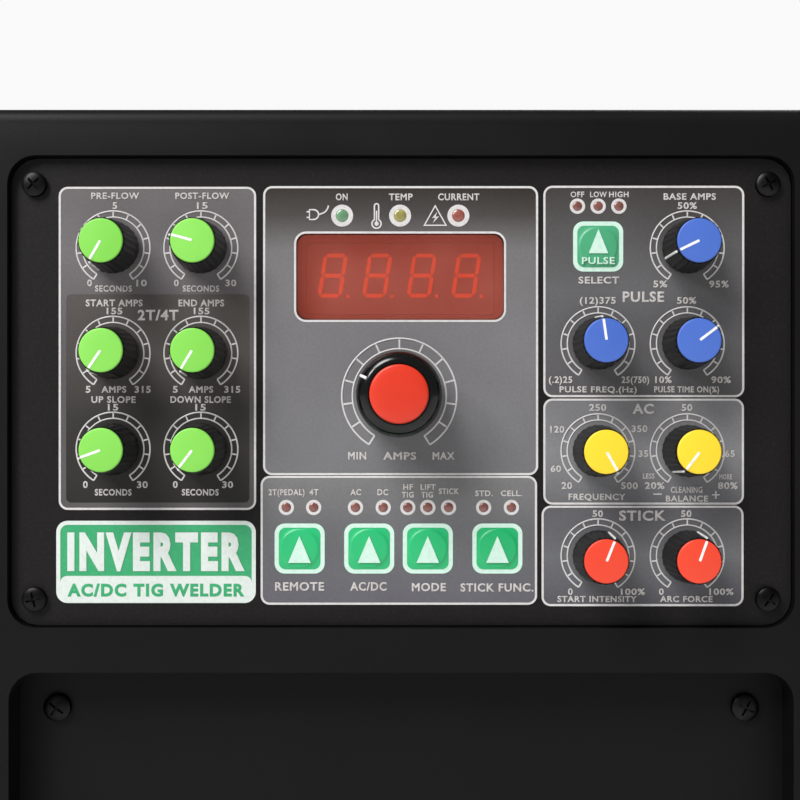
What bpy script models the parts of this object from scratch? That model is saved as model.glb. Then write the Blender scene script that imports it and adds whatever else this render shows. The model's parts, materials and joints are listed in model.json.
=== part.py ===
"""A portable AC/DC TIG welding machine, modelled as an assembly of separate solids.

The machine stands on four rubber feet with its control panel facing -Y. +Z is up, the origin is on
the floor under the middle of the whole machine. All sizes below are in millimetres, and new_object
turns them into metres. Places on the control panel are (right, up) from the middle of the panel.
"""

import math

import bmesh
import bpy
from mathutils import Matrix, Vector

MM = 0.001
GAP = 0.3          # air left between two pieces that touch

# Overall
BODY_HALF_WIDTH = 125.0
BODY_FRONT = -262.0
BODY_REAR = 262.0
BODY_BOTTOM = 8.0
BODY_TOP = 420.0
FOOT_HEIGHT = 16.0

# Sheet-metal case
CASE_HALF_WIDTH = 122.0
CASE_TOP = 416.0
CASE_BOTTOM = 20.0         # lower edge of the cover
COVER_SHEET = 1.5
BASE_SHEET = 2.0

# Moulded bezels at the two ends
BEZEL_DEPTH = 46.0
BEZEL_FACE = 18.0          # thickness of the rim around the pockets
BEZEL_RADIUS = 10.0
POCKET_DEPTH = 12.0

# Control panel
PANEL_WIDTH, PANEL_HEIGHT, PANEL_RADIUS = 222.0, 133.0, 7.6
PANEL_RECESS = 3.0
PANEL_SHEET = 2.0
PANEL_Y = BODY_FRONT + PANEL_RECESS          # front face of the control panel
PANEL_BACK = PANEL_Y + PANEL_SHEET
PANEL_Z = BODY_TOP - 14.0 - PANEL_HEIGHT / 2
PANEL_SCREWS = [(side * 104.3, level * 59.0) for side in (-1, 1) for level in (-1, 1)]

# Small control knobs: name, place, rest angle in degrees clockwise from straight up, cap colour
SMALL_KNOBS = [
    ("pre_flow", (-82.0, 41.0), -150, "green"),
    ("post_flow", (-57.0, 41.0), -75, "green"),
    ("start_amps", (-82.0, 11.0), -146, "green"),
    ("end_amps", (-57.0, 11.0), -149, "green"),
    ("up_slope", (-82.0, -16.3), -110, "green"),
    ("down_slope", (-57.0, -16.3), -143, "green"),
    ("base_amps", (81.5, 41.0), -116, "blue"),
    ("pulse_frequency", (56.1, 13.7), -8, "blue"),
    ("pulse_time_on", (81.5, 13.7), 53, "blue"),
    ("ac_frequency", (56.1, -16.8), 150, "yellow"),
    ("cleaning_balance", (81.5, -16.8), -143, "yellow"),
    ("start_intensity", (56.1, -46.7), 22, "red"),
    ("arc_force", (81.5, -46.7), 20, "red"),
]
MAIN_KNOB = ("main_amps", (-0.5, -1.1), -64, "red")
SMALL_PROFILE = {"base": 7.5, "top": 6.6, "cap": 6.2, "height": 16.6, "segments": 16}
MAIN_PROFILE = {"base": 11.9, "top": 8.9, "cap": 8.4, "height": 22.0, "segments": 24}
KNOB_CLEARANCE = 0.8       # air between a knob and the panel
CAP_THICKNESS = 1.5
SPIGOT_DEPTH = 2.2         # how far a cap's plug reaches into its knob
SHAFT_RADIUS, SHAFT_REACH = 3.0, 9.0

# Keys, lamps and the display window on the control panel
KEYS = [
    ("remote_button", (-28.9, -44.6)),
    ("ac_dc_button", (-9.1, -44.6)),
    ("mode_button", (7.6, -44.6)),
    ("stick_function_button", (27.4, -44.6)),
    ("pulse_button", (56.1, 41.4)),
]
KEY_SIZE, KEY_RADIUS, KEY_TRAVEL = 11.7, 1.8, 0.8
STATUS_LAMPS = [(x, 50.2) for x in (-16.8, -0.3, 16.3)]
SMALL_LAMPS = [(x, -32.9) for x in (-32.7, -24.9, -13.0, -5.1, 1.9, 7.6, 13.5, 23.5, 31.4)]
SMALL_LAMPS += [(x, 52.9) for x in (50.2, 56.1, 62.0)]
STATUS_LAMP_RADIUS, SMALL_LAMP_RADIUS = 1.95, 1.35
WINDOW_CENTRE, WINDOW_WIDTH, WINDOW_HEIGHT = (-0.3, 32.8), 58.6, 24.0

# Board behind the panel
BOARD_Y = PANEL_BACK + 14.0
BOARD_WIDTH, BOARD_HEIGHT, BOARD_SHEET = 194.0, 108.0, 1.6
SWITCH_FRONT = BOARD_Y - 4.0
POT_RADIUS, POT_DEPTH, BUSHING_RADIUS, POT_BORE = 6.0, 7.0, 4.4, 3.3

# Sockets in the lower front pocket
SOCKET_Z = 84.0
OUTPUT_X = 78.0
GAS_OUTLET_X = -26.0
REMOTE_X = 26.0

# Back panel
FAN_CENTRE = (0.0, 286.0)
FAN_BORE, FAN_SIDE, FAN_FRAME_DEPTH = 70.0, 150.0, 38.0
MOTOR_RADIUS, FAN_BLADES = 22.0, 7
SWITCH_PLACE = (-68.0, 120.0)
GAS_VALVE_PLACE = (70.0, 84.0)
GLAND_PLACE = (-68.0, 60.0)
LEVER_PIVOT_Y, LEVER_REST_TILT = 238.0, -25.0

# On top
HANDLE_FRONT, HANDLE_REAR, HANDLE_TOP, HANDLE_RADIUS = -50.0, 110.0, 470.0, 10.0

# The hose barb reaches as far back as the main knob stands forward, so the origin is in the middle
BARB_TIP = MAIN_PROFILE["height"] - PANEL_Y

# Where the pieces inside stand
INSIDE_FLOOR = FOOT_HEIGHT + GAP + BASE_SHEET + GAP

PAINTS = {
    "black_plastic": ((0.012, 0.012, 0.012), 0.45, 0.0),
    "panel_black": ((0.02, 0.02, 0.02), 0.5, 0.0),
    "case_green": ((0.01, 0.16, 0.06), 0.4, 0.0),
    "base_steel": ((0.03, 0.03, 0.032), 0.5, 0.0),
    "rubber": ((0.015, 0.015, 0.015), 0.85, 0.0),
    "knob_black": ((0.015, 0.015, 0.015), 0.4, 0.0),
    "green": ((0.24, 0.73, 0.09), 0.4, 0.0),
    "blue": ((0.06, 0.16, 0.6), 0.4, 0.0),
    "yellow": ((0.97, 0.75, 0.02), 0.4, 0.0),
    "red": ((0.8, 0.06, 0.02), 0.35, 0.0),
    "key_green": ((0.04, 0.62, 0.26), 0.35, 0.0),
    "window_red": ((0.3, 0.03, 0.02), 0.1, 0.0),
    "board_green": ((0.01, 0.12, 0.04), 0.5, 0.0),
    "aluminium": ((0.7, 0.7, 0.72), 0.35, 1.0),
    "brass": ((0.72, 0.5, 0.2), 0.3, 1.0),
    "steel": ((0.55, 0.56, 0.58), 0.3, 1.0),
    "copper": ((0.7, 0.3, 0.15), 0.4, 1.0),
}


# ---------------------------------------------------------------- helpers

def clear_scene():
    for obj in list(bpy.data.objects):
        bpy.data.objects.remove(obj, do_unlink=True)


def paint(name):
    """The named Principled material, made the first time it is asked for."""
    found = bpy.data.materials.get(name)
    if found:
        return found
    colour, roughness, metallic = PAINTS[name]
    made = bpy.data.materials.new(name)
    made.use_nodes = True
    shader = made.node_tree.nodes["Principled BSDF"]
    shader.inputs["Base Color"].default_value = (*colour, 1.0)
    shader.inputs["Roughness"].default_value = roughness
    shader.inputs["Metallic"].default_value = metallic
    return made


def new_object(name, bm, paint_name, at=(0, 0, 0), turn_y=0.0):
    """Makes an object of bm, whose points are millimetres from at. turn_y is in degrees about +Y."""
    bmesh.ops.recalc_face_normals(bm, faces=bm.faces)
    bmesh.ops.scale(bm, vec=(MM, MM, MM), verts=bm.verts)
    mesh = bpy.data.meshes.new(name)
    bm.to_mesh(mesh)
    bm.free()
    mesh.shade_smooth()
    mesh.set_sharp_from_angle(angle=math.radians(35))
    obj = bpy.data.objects.new(name, mesh)
    obj.location = Vector(at) * MM
    obj.rotation_euler = (0, math.radians(turn_y), 0)
    bpy.context.scene.collection.objects.link(obj)
    mesh.materials.append(paint(paint_name))
    return obj


def tool_object(name, bm):
    """A cutter or a piece that a Boolean joins to another: it isn't a part itself."""
    obj = new_object(name, bm, "steel")
    obj.hide_render = True
    obj.display_type = "WIRE"
    return obj


def combine(obj, bm, operation):
    """Joins bm to obj (UNION), or cuts it away (DIFFERENCE)."""
    tool = tool_object(f"{obj.name}_{operation.lower()}_{len(obj.modifiers)}", bm)
    modifier = obj.modifiers.new(tool.name, "BOOLEAN")
    modifier.operation = operation
    modifier.solver = "EXACT"
    modifier.object = tool


def block(bm, low, high):
    """A box between two corners."""
    corners = [bm.verts.new((x, y, z)) for x in (low[0], high[0])
               for y in (low[1], high[1]) for z in (low[2], high[2])]
    for face in ((0, 1, 3, 2), (4, 6, 7, 5), (0, 4, 5, 1), (2, 3, 7, 6), (0, 2, 6, 4), (1, 5, 7, 3)):
        bm.faces.new([corners[i] for i in face])


def rounded_rectangle(width, height, radius, steps=3, centre=(0, 0)):
    """The outline of a rectangle with round corners, anticlockwise."""
    points = []
    for quarter in range(4):
        sx, sy = ((1, -1), (1, 1), (-1, 1), (-1, -1))[quarter]
        corner_x = centre[0] + sx * (width / 2 - radius)
        corner_y = centre[1] + sy * (height / 2 - radius)
        for step in range(steps + 1):
            angle = math.radians(-90 + quarter * 90 + step * 90 / steps)
            points.append((corner_x + radius * math.cos(angle), corner_y + radius * math.sin(angle)))
    return points


def circle(radius, segments, centre=(0, 0)):
    """A regular polygon whose corners lie on a circle."""
    turns = [2 * math.pi * i / segments for i in range(segments)]
    return [(centre[0] + radius * math.cos(t), centre[1] + radius * math.sin(t)) for t in turns]


def prism(bm, outline, low, high, axis="Y"):
    """Extrudes an outline between two levels. Its points are (x, z) along Y, and (x, y) along Z."""
    def place(point, level):
        return (point[0], level, point[1]) if axis == "Y" else (point[0], point[1], level)
    near = [bm.verts.new(place(p, low)) for p in outline]
    far = [bm.verts.new(place(p, high)) for p in outline]
    bm.faces.new(near)
    bm.faces.new(far[::-1])
    for i in range(len(outline)):
        j = (i + 1) % len(outline)
        bm.faces.new((near[i], far[i], far[j], near[j]))


def turned(bm, profile, centre, segments, axis="Y", closed=False):
    """A turned solid. profile is a list of (radius, distance along the axis), and centre is the axis's
    place across it. A closed profile is a ring with a hole through it."""
    rings = []
    for radius, along in profile:
        if radius == 0:
            rings.append([bm.verts.new(on_axis(centre, axis, 0, 0, along))])
            continue
        rings.append([bm.verts.new(on_axis(centre, axis, *point, along))
                      for point in circle(radius, segments)])
    pairs = list(zip(rings, rings[1:]))
    if closed:
        pairs.append((rings[-1], rings[0]))
    for first, second in pairs:
        for i in range(segments):
            j = (i + 1) % segments
            corners = [first[i % len(first)], first[j % len(first)],
                       second[j % len(second)], second[i % len(second)]]
            bm.faces.new(list(dict.fromkeys(corners)))


def on_axis(centre, axis, across, up, along):
    """A point at (across, up) from an axis whose place is centre, and along the axis."""
    if axis == "Y":
        return (centre[0] + across, along, centre[1] + up)
    if axis == "Z":
        return (centre[0] + across, centre[1] + up, along)
    return (along, centre[0] + across, centre[1] + up)


def swept_tube(bm, path, radius, sides):
    """A round tube along points in a plane of constant x, with flat ends."""
    rings = []
    for i, point in enumerate(path):
        before = Vector(path[max(i - 1, 0)])
        after = Vector(path[min(i + 1, len(path) - 1)])
        along = (after - before).normalized()
        side = Vector((1, 0, 0))
        up = along.cross(side)
        rings.append([bm.verts.new(Vector(point) + radius * (math.cos(a) * side + math.sin(a) * up))
                      for a in (2 * math.pi * k / sides for k in range(sides))])
    for first, second in zip(rings, rings[1:]):
        for i in range(sides):
            j = (i + 1) % sides
            bm.faces.new((first[i], first[j], second[j], second[i]))
    bm.faces.new(rings[0][::-1])
    bm.faces.new(rings[-1])


def slanted_bar(half_length, half_width, low, high, centre, angle):
    """A flat bar across a centre, between two depths, turned about the Y axis by angle in degrees."""
    bm = bmesh.new()
    block(bm, (-half_length, low, -half_width), (half_length, high, half_width))
    turn = Matrix.Rotation(math.radians(angle), 3, "Y")
    bmesh.ops.rotate(bm, verts=bm.verts, cent=(0, 0, 0), matrix=turn)
    bmesh.ops.translate(bm, verts=bm.verts, vec=(centre[0], 0, centre[1]))
    return bm


def panel_point(place):
    """(x, z) in the machine of a place on the control panel."""
    return (place[0], PANEL_Z + place[1])


# ---------------------------------------------------------------- case

def make_base_chassis():
    """The folded floor tray that everything inside stands on."""
    outer = CASE_HALF_WIDTH - COVER_SHEET - GAP
    floor = FOOT_HEIGHT + GAP
    flange_top = floor + 28
    outline = [(-outer, floor), (outer, floor), (outer, flange_top), (outer - BASE_SHEET, flange_top),
               (outer - BASE_SHEET, floor + BASE_SHEET), (BASE_SHEET - outer, floor + BASE_SHEET),
               (BASE_SHEET - outer, flange_top), (-outer, flange_top)]
    bm = bmesh.new()
    ends = BODY_REAR - BEZEL_FACE - GAP
    prism(bm, outline, -ends, ends)
    new_object("base_chassis", bm, "base_steel")


def cover_outline():
    """The cover's section: two sides and a top of one folded sheet, with round bends."""
    bend = 6.0
    outer, inner = [], []
    for step in range(5):
        angle = math.radians(step * 90 / 4)
        centre_x, centre_z = CASE_HALF_WIDTH - bend, CASE_TOP - bend
        outer.append((centre_x + bend * math.cos(angle), centre_z + bend * math.sin(angle)))
        inner.append((centre_x + (bend - COVER_SHEET) * math.cos(angle),
                      centre_z + (bend - COVER_SHEET) * math.sin(angle)))
    right = [(CASE_HALF_WIDTH, CASE_BOTTOM), *outer]
    left = [(-x, z) for x, z in reversed(right)]
    inside_left = [(-x, z) for x, z in inner]
    inside_right = [(x, z) for x, z in reversed(inner)]
    foot = CASE_HALF_WIDTH - COVER_SHEET
    return [*right, *left, (-foot, CASE_BOTTOM), *inside_left, *inside_right, (foot, CASE_BOTTOM)]


def make_case_cover():
    """The wrap-around cover, with two groups of cooling slots in each side."""
    ends = BODY_REAR - BEZEL_FACE - GAP
    bm = bmesh.new()
    prism(bm, cover_outline(), -ends, ends)
    cover = new_object("case_cover", bm, "case_green")
    slots = bmesh.new()
    slot_length, slot_height, pitch = 84.0, 4.0, 15.0
    for side in (-1, 1):
        for group_y in (-104.0, 104.0):
            for row in range(8):
                z = 196.0 + row * pitch
                x_near, x_far = side * (CASE_HALF_WIDTH - 5), side * (CASE_HALF_WIDTH + 3)
                block(slots, (min(x_near, x_far), group_y - slot_length / 2, z),
                      (max(x_near, x_far), group_y + slot_length / 2, z + slot_height))
    combine(cover, slots, "DIFFERENCE")


def bezel_blank(front, rear, name):
    """A round-cornered moulding between two depths, whose outer edge at front is chamfered."""
    width, height = 2 * BODY_HALF_WIDTH, BODY_TOP - BODY_BOTTOM
    middle = (0, (BODY_TOP + BODY_BOTTOM) / 2)
    toward_rear = 1 if rear > front else -1
    chamfer = 4.0
    levels = [(front, chamfer), (front + toward_rear * chamfer * 0.35, chamfer * 0.35),
              (front + toward_rear * chamfer, 0), (rear, 0)]
    bm = bmesh.new()
    rings = []
    for y, inset in levels:
        outline = rounded_rectangle(width - 2 * inset, height - 2 * inset, BEZEL_RADIUS - inset, 4, middle)
        rings.append([bm.verts.new((x, y, z)) for x, z in outline])
    for first, second in zip(rings, rings[1:]):
        for i in range(len(first)):
            j = (i + 1) % len(first)
            bm.faces.new((first[i], first[j], second[j], second[i]))
    bm.faces.new(rings[0])
    bm.faces.new(rings[-1][::-1])
    return new_object(name, bm, "black_plastic")


def cut_case_cavity(bezel, inner_face, rear):
    """Hollows the side of a bezel that the case slides into."""
    clearance, floor = 0.4, FOOT_HEIGHT - 0.5
    ceiling = CASE_TOP + clearance
    bm = bmesh.new()
    outline = rounded_rectangle(2 * (CASE_HALF_WIDTH + clearance), ceiling - floor, 3.5, 3,
                                (0, (ceiling + floor) / 2))
    prism(bm, outline, inner_face, rear)
    combine(bezel, bm, "DIFFERENCE")


def make_front_bezel():
    """The front moulding: a window for the control panel over a recess for the sockets."""
    front, inner_face = BODY_FRONT, BODY_FRONT + BEZEL_FACE
    bezel = bezel_blank(front, front + BEZEL_DEPTH, "front_bezel")
    cut_case_cavity(bezel, inner_face, front + BEZEL_DEPTH + 1)

    seat = bmesh.new()
    outline = rounded_rectangle(PANEL_WIDTH + 0.7, PANEL_HEIGHT + 0.7, PANEL_RADIUS + 0.35, 4, (0, PANEL_Z))
    prism(seat, outline, front - 1, PANEL_BACK + GAP)
    combine(bezel, seat, "DIFFERENCE")

    window = bmesh.new()
    prism(window, rounded_rectangle(200, 112, 4, 2, (0, PANEL_Z)), PANEL_Y, inner_face + 1)
    combine(bezel, window, "DIFFERENCE")

    recess = bmesh.new()
    prism(recess, rounded_rectangle(222, 236, 8, 3, (0, 142)), front - 1, front + POCKET_DEPTH)
    combine(bezel, recess, "DIFFERENCE")

    holes = bmesh.new()
    for x, radius in ((-OUTPUT_X, 13.5), (OUTPUT_X, 13.5), (GAS_OUTLET_X, 6.3), (REMOTE_X, 8.3)):
        prism(holes, circle(radius, 16, (x, SOCKET_Z)), front + POCKET_DEPTH - 1, inner_face + 1)
    for row in range(6):
        z = 132.0 + row * 13
        prism(holes, rounded_rectangle(150, 5, 1.5, 1, (0, z)), front + POCKET_DEPTH - 1, inner_face + 1)
    combine(bezel, holes, "DIFFERENCE")


def make_rear_bezel():
    """The rear moulding: one large recess with openings for the fan, switch, gas valve and cable."""
    rear, inner_face = BODY_REAR, BODY_REAR - BEZEL_FACE
    bezel = bezel_blank(rear, rear - BEZEL_DEPTH, "rear_bezel")
    cut_case_cavity(bezel, rear - BEZEL_DEPTH - 1, inner_face)

    recess = bmesh.new()
    prism(recess, rounded_rectangle(222, 380, 8, 3, (0, 214)), rear - POCKET_DEPTH, rear + 1)
    combine(bezel, recess, "DIFFERENCE")

    holes = bmesh.new()
    prism(holes, circle(FAN_BORE, 32, FAN_CENTRE), inner_face - 1, rear - POCKET_DEPTH + 1)
    prism(holes, rounded_rectangle(37, 53, 0.6, 1, SWITCH_PLACE), inner_face - 1, rear - POCKET_DEPTH + 1)
    prism(holes, circle(7.6, 12, GAS_VALVE_PLACE), inner_face - 1, rear - POCKET_DEPTH + 1)
    prism(holes, circle(12.6, 16, GLAND_PLACE), inner_face - 1, rear - POCKET_DEPTH + 1)
    combine(bezel, holes, "DIFFERENCE")


def make_feet():
    """Four rubber feet, each with a counterbore for its screw."""
    for end, y in (("front", -190.0), ("rear", 190.0)):
        for side, x in (("left", -92.0), ("right", 92.0)):
            bm = bmesh.new()
            profile = [(0, 9), (5, 9), (5, 0), (16, 0), (17, 1.5), (14.5, FOOT_HEIGHT), (0, FOOT_HEIGHT)]
            turned(bm, profile, (0, 0), 16, "Z")
            new_object(f"foot_{end}_{side}", bm, "rubber", at=(x, y, 0))


def make_carry_handle():
    """A bent tube with a flange welded on each end, screwed to the cover."""
    bend, steps = 22.0, 4
    top = HANDLE_TOP - HANDLE_RADIUS
    start = CASE_TOP + GAP
    path = [(0, HANDLE_FRONT, start)]
    for centre_y, turn in ((HANDLE_FRONT + bend, 180), (HANDLE_REAR - bend, 90)):
        for step in range(steps + 1):
            angle = math.radians(turn - step * 90 / steps)
            path.append((0, centre_y + bend * math.cos(angle), top - bend + bend * math.sin(angle)))
    path.append((0, HANDLE_REAR, start))
    bm = bmesh.new()
    swept_tube(bm, path, HANDLE_RADIUS, 12)
    handle = new_object("carry_handle", bm, "base_steel")
    flanges = bmesh.new()
    for y in (HANDLE_FRONT, HANDLE_REAR):
        prism(flanges, rounded_rectangle(52, 34, 8, 2, (0, y)), start, start + 4, "Z")
    combine(handle, flanges, "UNION")


# ---------------------------------------------------------------- control panel

def make_control_panel_plate():
    """The flat plate that carries the knobs and the printed face."""
    bm = bmesh.new()
    outline = rounded_rectangle(PANEL_WIDTH, PANEL_HEIGHT, PANEL_RADIUS, 4, (0, PANEL_Z))
    prism(bm, outline, PANEL_Y, PANEL_BACK)
    plate = new_object("control_panel_plate", bm, "panel_black")
    cuts = bmesh.new()
    low, high = PANEL_Y - 1, PANEL_BACK + 1
    for _, place, _, _ in [*SMALL_KNOBS, MAIN_KNOB]:
        prism(cuts, circle(BUSHING_RADIUS + 0.6, 8, panel_point(place)), low, high)
    for place in STATUS_LAMPS:
        prism(cuts, circle(STATUS_LAMP_RADIUS + 0.4, 6, panel_point(place)), low, high)
    for place in SMALL_LAMPS:
        prism(cuts, circle(SMALL_LAMP_RADIUS + 0.4, 6, panel_point(place)), low, high)
    for place in PANEL_SCREWS:
        prism(cuts, circle(2.0, 6, panel_point(place)), low, high)
    for _, place in KEYS:
        size = KEY_SIZE + 2 * GAP
        prism(cuts, rounded_rectangle(size, size, KEY_RADIUS + GAP, 1, panel_point(place)), low, high)
    window = rounded_rectangle(WINDOW_WIDTH + 2 * GAP, WINDOW_HEIGHT + 2 * GAP, 3.2, 3,
                               panel_point(WINDOW_CENTRE))
    prism(cuts, window, low, high)
    combine(plate, cuts, "DIFFERENCE")


def make_display_window():
    """The red lens, flush with the panel, with a lip behind it that keeps it in its opening."""
    centre = panel_point(WINDOW_CENTRE)
    bm = bmesh.new()
    prism(bm, rounded_rectangle(WINDOW_WIDTH, WINDOW_HEIGHT, 2.9, 3, centre), PANEL_Y + 0.1, PANEL_BACK + 1.5)
    lens = new_object("display_window", bm, "window_red")
    lip = bmesh.new()
    prism(lip, rounded_rectangle(WINDOW_WIDTH + 4, WINDOW_HEIGHT + 2, 2.9, 3, centre),
          PANEL_BACK + GAP, PANEL_BACK + 1.2)
    combine(lens, lip, "UNION")


def make_control_board():
    """The circuit board with its soldered display, lamps, potentiometers and key switches."""
    bm = bmesh.new()
    half_w, half_h = BOARD_WIDTH / 2, BOARD_HEIGHT / 2
    block(bm, (-half_w, BOARD_Y, PANEL_Z - half_h), (half_w, BOARD_Y + BOARD_SHEET, PANEL_Z + half_h))
    board = new_object("control_board", bm, "board_green")
    sunk = BOARD_Y + 0.5
    parts = bmesh.new()
    pot_front = BOARD_Y - POT_DEPTH
    bore_end = PANEL_Y + SHAFT_REACH + GAP
    for _, place, _, _ in [*SMALL_KNOBS, MAIN_KNOB]:
        profile = [(0, sunk), (POT_RADIUS, sunk), (POT_RADIUS, pot_front), (BUSHING_RADIUS, pot_front),
                   (BUSHING_RADIUS, PANEL_Y + 0.2), (POT_BORE, PANEL_Y + 0.2), (POT_BORE, bore_end), (0, bore_end)]
        turned(parts, profile, panel_point(place), 8)
    lamps = [(place, STATUS_LAMP_RADIUS) for place in STATUS_LAMPS]
    lamps += [(place, SMALL_LAMP_RADIUS) for place in SMALL_LAMPS]
    for place, radius in lamps:
        profile = [(0, sunk), (radius, sunk), (radius, PANEL_Y + 0.3), (0, PANEL_Y + 0.3)]
        turned(parts, profile, panel_point(place), 6)
    for _, place in KEYS:
        x, z = panel_point(place)
        block(parts, (x - 3, SWITCH_FRONT, z - 3), (x + 3, sunk, z + 3))
    window_x, window_z = panel_point(WINDOW_CENTRE)
    block(parts, (window_x - 25.4, PANEL_BACK + 3.5, window_z - 9.5), (window_x + 25.4, sunk, window_z + 9.5))
    for x in (-92.0, 92.0):
        for z in (-50.0, 50.0):
            turned(parts, [(0, sunk), (3, sunk), (3, PANEL_BACK + GAP), (0, PANEL_BACK + GAP)],
                   panel_point((x, z)), 8)
    combine(board, parts, "UNION")


def make_knob(name, place, rest, colour, shape):
    """A tapered knob on its potentiometer shaft, and the coloured cap that snaps into its top.
    Both are drawn pointing straight up and turned to their rest angle about the shaft."""
    origin = (place[0], PANEL_Y, PANEL_Z + place[1])
    cap_seat = shape["height"] - CAP_THICKNESS
    plug = shape["cap"] - 1.4
    body = bmesh.new()
    profile = [(0, SHAFT_REACH), (SHAFT_RADIUS, SHAFT_REACH), (SHAFT_RADIUS, -KNOB_CLEARANCE),
               (shape["base"], -KNOB_CLEARANCE), (shape["top"], GAP - cap_seat),
               (plug + GAP, GAP - cap_seat), (plug + GAP, SPIGOT_DEPTH - cap_seat), (0, SPIGOT_DEPTH - cap_seat)]
    turned(body, profile, (0, 0), shape["segments"])
    new_object(f"{name}_knob", body, "knob_black", origin, rest)
    cap = bmesh.new()
    profile = [(0, -shape["height"]), (shape["cap"], -shape["height"]), (shape["cap"], -cap_seat),
               (plug, -cap_seat), (plug, SPIGOT_DEPTH - GAP - cap_seat), (0, SPIGOT_DEPTH - GAP - cap_seat)]
    turned(cap, profile, (0, 0), shape["segments"])
    new_object(f"{name}_cap", cap, colour, origin, rest)


def make_key(name, place):
    """A push key: a square cap with a round dome, a flange that keeps it in, and a stem to its switch."""
    x, z = panel_point(place)
    bm = bmesh.new()
    prism(bm, rounded_rectangle(KEY_SIZE, KEY_SIZE, KEY_RADIUS, 1), -0.2, PANEL_SHEET + 1)
    key = new_object(name, bm, "key_green", at=(x, PANEL_Y, z))
    dome = bmesh.new()
    turned(dome, [(0, PANEL_Y + 0.5), (5.6, PANEL_Y + 0.5), (5.2, PANEL_Y - 0.7), (0, PANEL_Y - 1)],
           (x, z), 12)
    combine(key, dome, "UNION")
    back = bmesh.new()
    flange = KEY_SIZE / 2 + 1
    block(back, (x - flange, PANEL_BACK + GAP, z - flange), (x + flange, PANEL_BACK + 1.4, z + flange))
    combine(key, back, "UNION")
    stem = bmesh.new()
    block(stem, (x - 1.6, PANEL_BACK + 1, z - 1.6), (x + 1.6, SWITCH_FRONT - KEY_TRAVEL - 0.4, z + 1.6))
    combine(key, stem, "UNION")


# ---------------------------------------------------------------- front sockets

def make_output_socket(name, x):
    """A panel socket for a twist-lock welding connector: insulator, keyed bore and clamping stud."""
    wall = BODY_FRONT + POCKET_DEPTH
    nose = BODY_FRONT - 4.0
    bm = bmesh.new()
    profile = [(0, -226), (6.9, -226), (6.9, nose), (17.5, nose), (18.5, nose + 1.5), (18.5, wall - 5),
               (22.5, wall - 5), (22.5, wall - GAP), (13.0, wall - GAP), (13.0, -226), (12.0, -222),
               (6.0, -222), (6.0, -196), (0, -196)]
    turned(bm, profile, (x, SOCKET_Z), 16)
    socket = new_object(name, bm, "knob_black")
    keyway = bmesh.new()
    block(keyway, (x - 2, nose - 1, SOCKET_Z + 4), (x + 2, -240, SOCKET_Z + 9.4))
    combine(socket, keyway, "DIFFERENCE")


def make_gas_outlet():
    """The shielding-gas outlet: a hexagon nut on the panel and a hose nipple."""
    wall = BODY_FRONT + POCKET_DEPTH
    bm = bmesh.new()
    profile = [(0, -262), (1.8, -262), (1.8, -272), (4.0, -272), (5.0, -269), (4.2, -266), (4.2, -262),
               (6.5, -260), (6.5, -252), (5.9, wall - GAP), (5.9, -232), (0, -232)]
    turned(bm, profile, (GAS_OUTLET_X, SOCKET_Z), 12)
    fitting = new_object("gas_outlet_fitting", bm, "brass")
    nut = bmesh.new()
    prism(nut, circle(10.5, 6, (GAS_OUTLET_X, SOCKET_Z)), -257, wall - GAP)
    combine(fitting, nut, "UNION")


def make_remote_socket():
    """The round multi-pin socket for a foot pedal or torch switch."""
    wall = BODY_FRONT + POCKET_DEPTH
    bm = bmesh.new()
    profile = [(0, wall - 3), (7.2, wall - 3), (7.2, -263), (8.6, -263), (9.2, -262), (9.2, -254.5),
               (12.5, -254.5), (12.5, wall - GAP), (7.9, wall - GAP), (7.9, -234), (0, -234)]
    turned(bm, profile, (REMOTE_X, SOCKET_Z), 16)
    new_object("remote_control_socket", bm, "steel")


# ---------------------------------------------------------------- back panel

def make_fan():
    """The square fan frame, whose struts carry the motor, and the bladed rotor that fits over the motor."""
    back = BODY_REAR - BEZEL_FACE - GAP
    front = back - FAN_FRAME_DEPTH
    bm = bmesh.new()
    prism(bm, rounded_rectangle(FAN_SIDE, FAN_SIDE, 12, 2, FAN_CENTRE), front, back)
    frame = new_object("fan_frame", bm, "black_plastic")
    bore = bmesh.new()
    prism(bore, circle(FAN_BORE, 32, FAN_CENTRE), front - 1, back + 1)
    combine(frame, bore, "DIFFERENCE")
    motor = bmesh.new()
    motor_end = front + 20
    turned(motor, [(0, front + 0.5), (29, front + 0.5), (29, front + 4), (MOTOR_RADIUS, front + 4),
                   (MOTOR_RADIUS, motor_end), (0, motor_end)], FAN_CENTRE, 16)
    combine(frame, motor, "UNION")
    for angle in (45, 135):
        strut = slanted_bar(FAN_BORE + 1.5, 3, front + 0.8, front + 3.7, FAN_CENTRE, angle)
        combine(frame, strut, "UNION")

    hub_front, hub_back = front + 6, back - 4
    hub = bmesh.new()
    bore_radius = MOTOR_RADIUS + 0.6
    turned(hub, [(0, motor_end + 1), (bore_radius, motor_end + 1), (bore_radius, hub_front), (28, hub_front),
                 (28, hub_back - 2), (26, hub_back), (0, hub_back)], (0, 0), 24)
    rotor = new_object("fan_rotor", hub, "black_plastic", at=(FAN_CENTRE[0], 0, FAN_CENTRE[1]))
    blades = bmesh.new()
    for blade in range(FAN_BLADES):
        add_fan_blade(blades, 360 / FAN_BLADES * blade, hub_front + 3, hub_back - 3)
    bmesh.ops.translate(blades, verts=blades.verts, vec=(FAN_CENTRE[0], 0, FAN_CENTRE[1]))
    combine(rotor, blades, "UNION")


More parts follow.
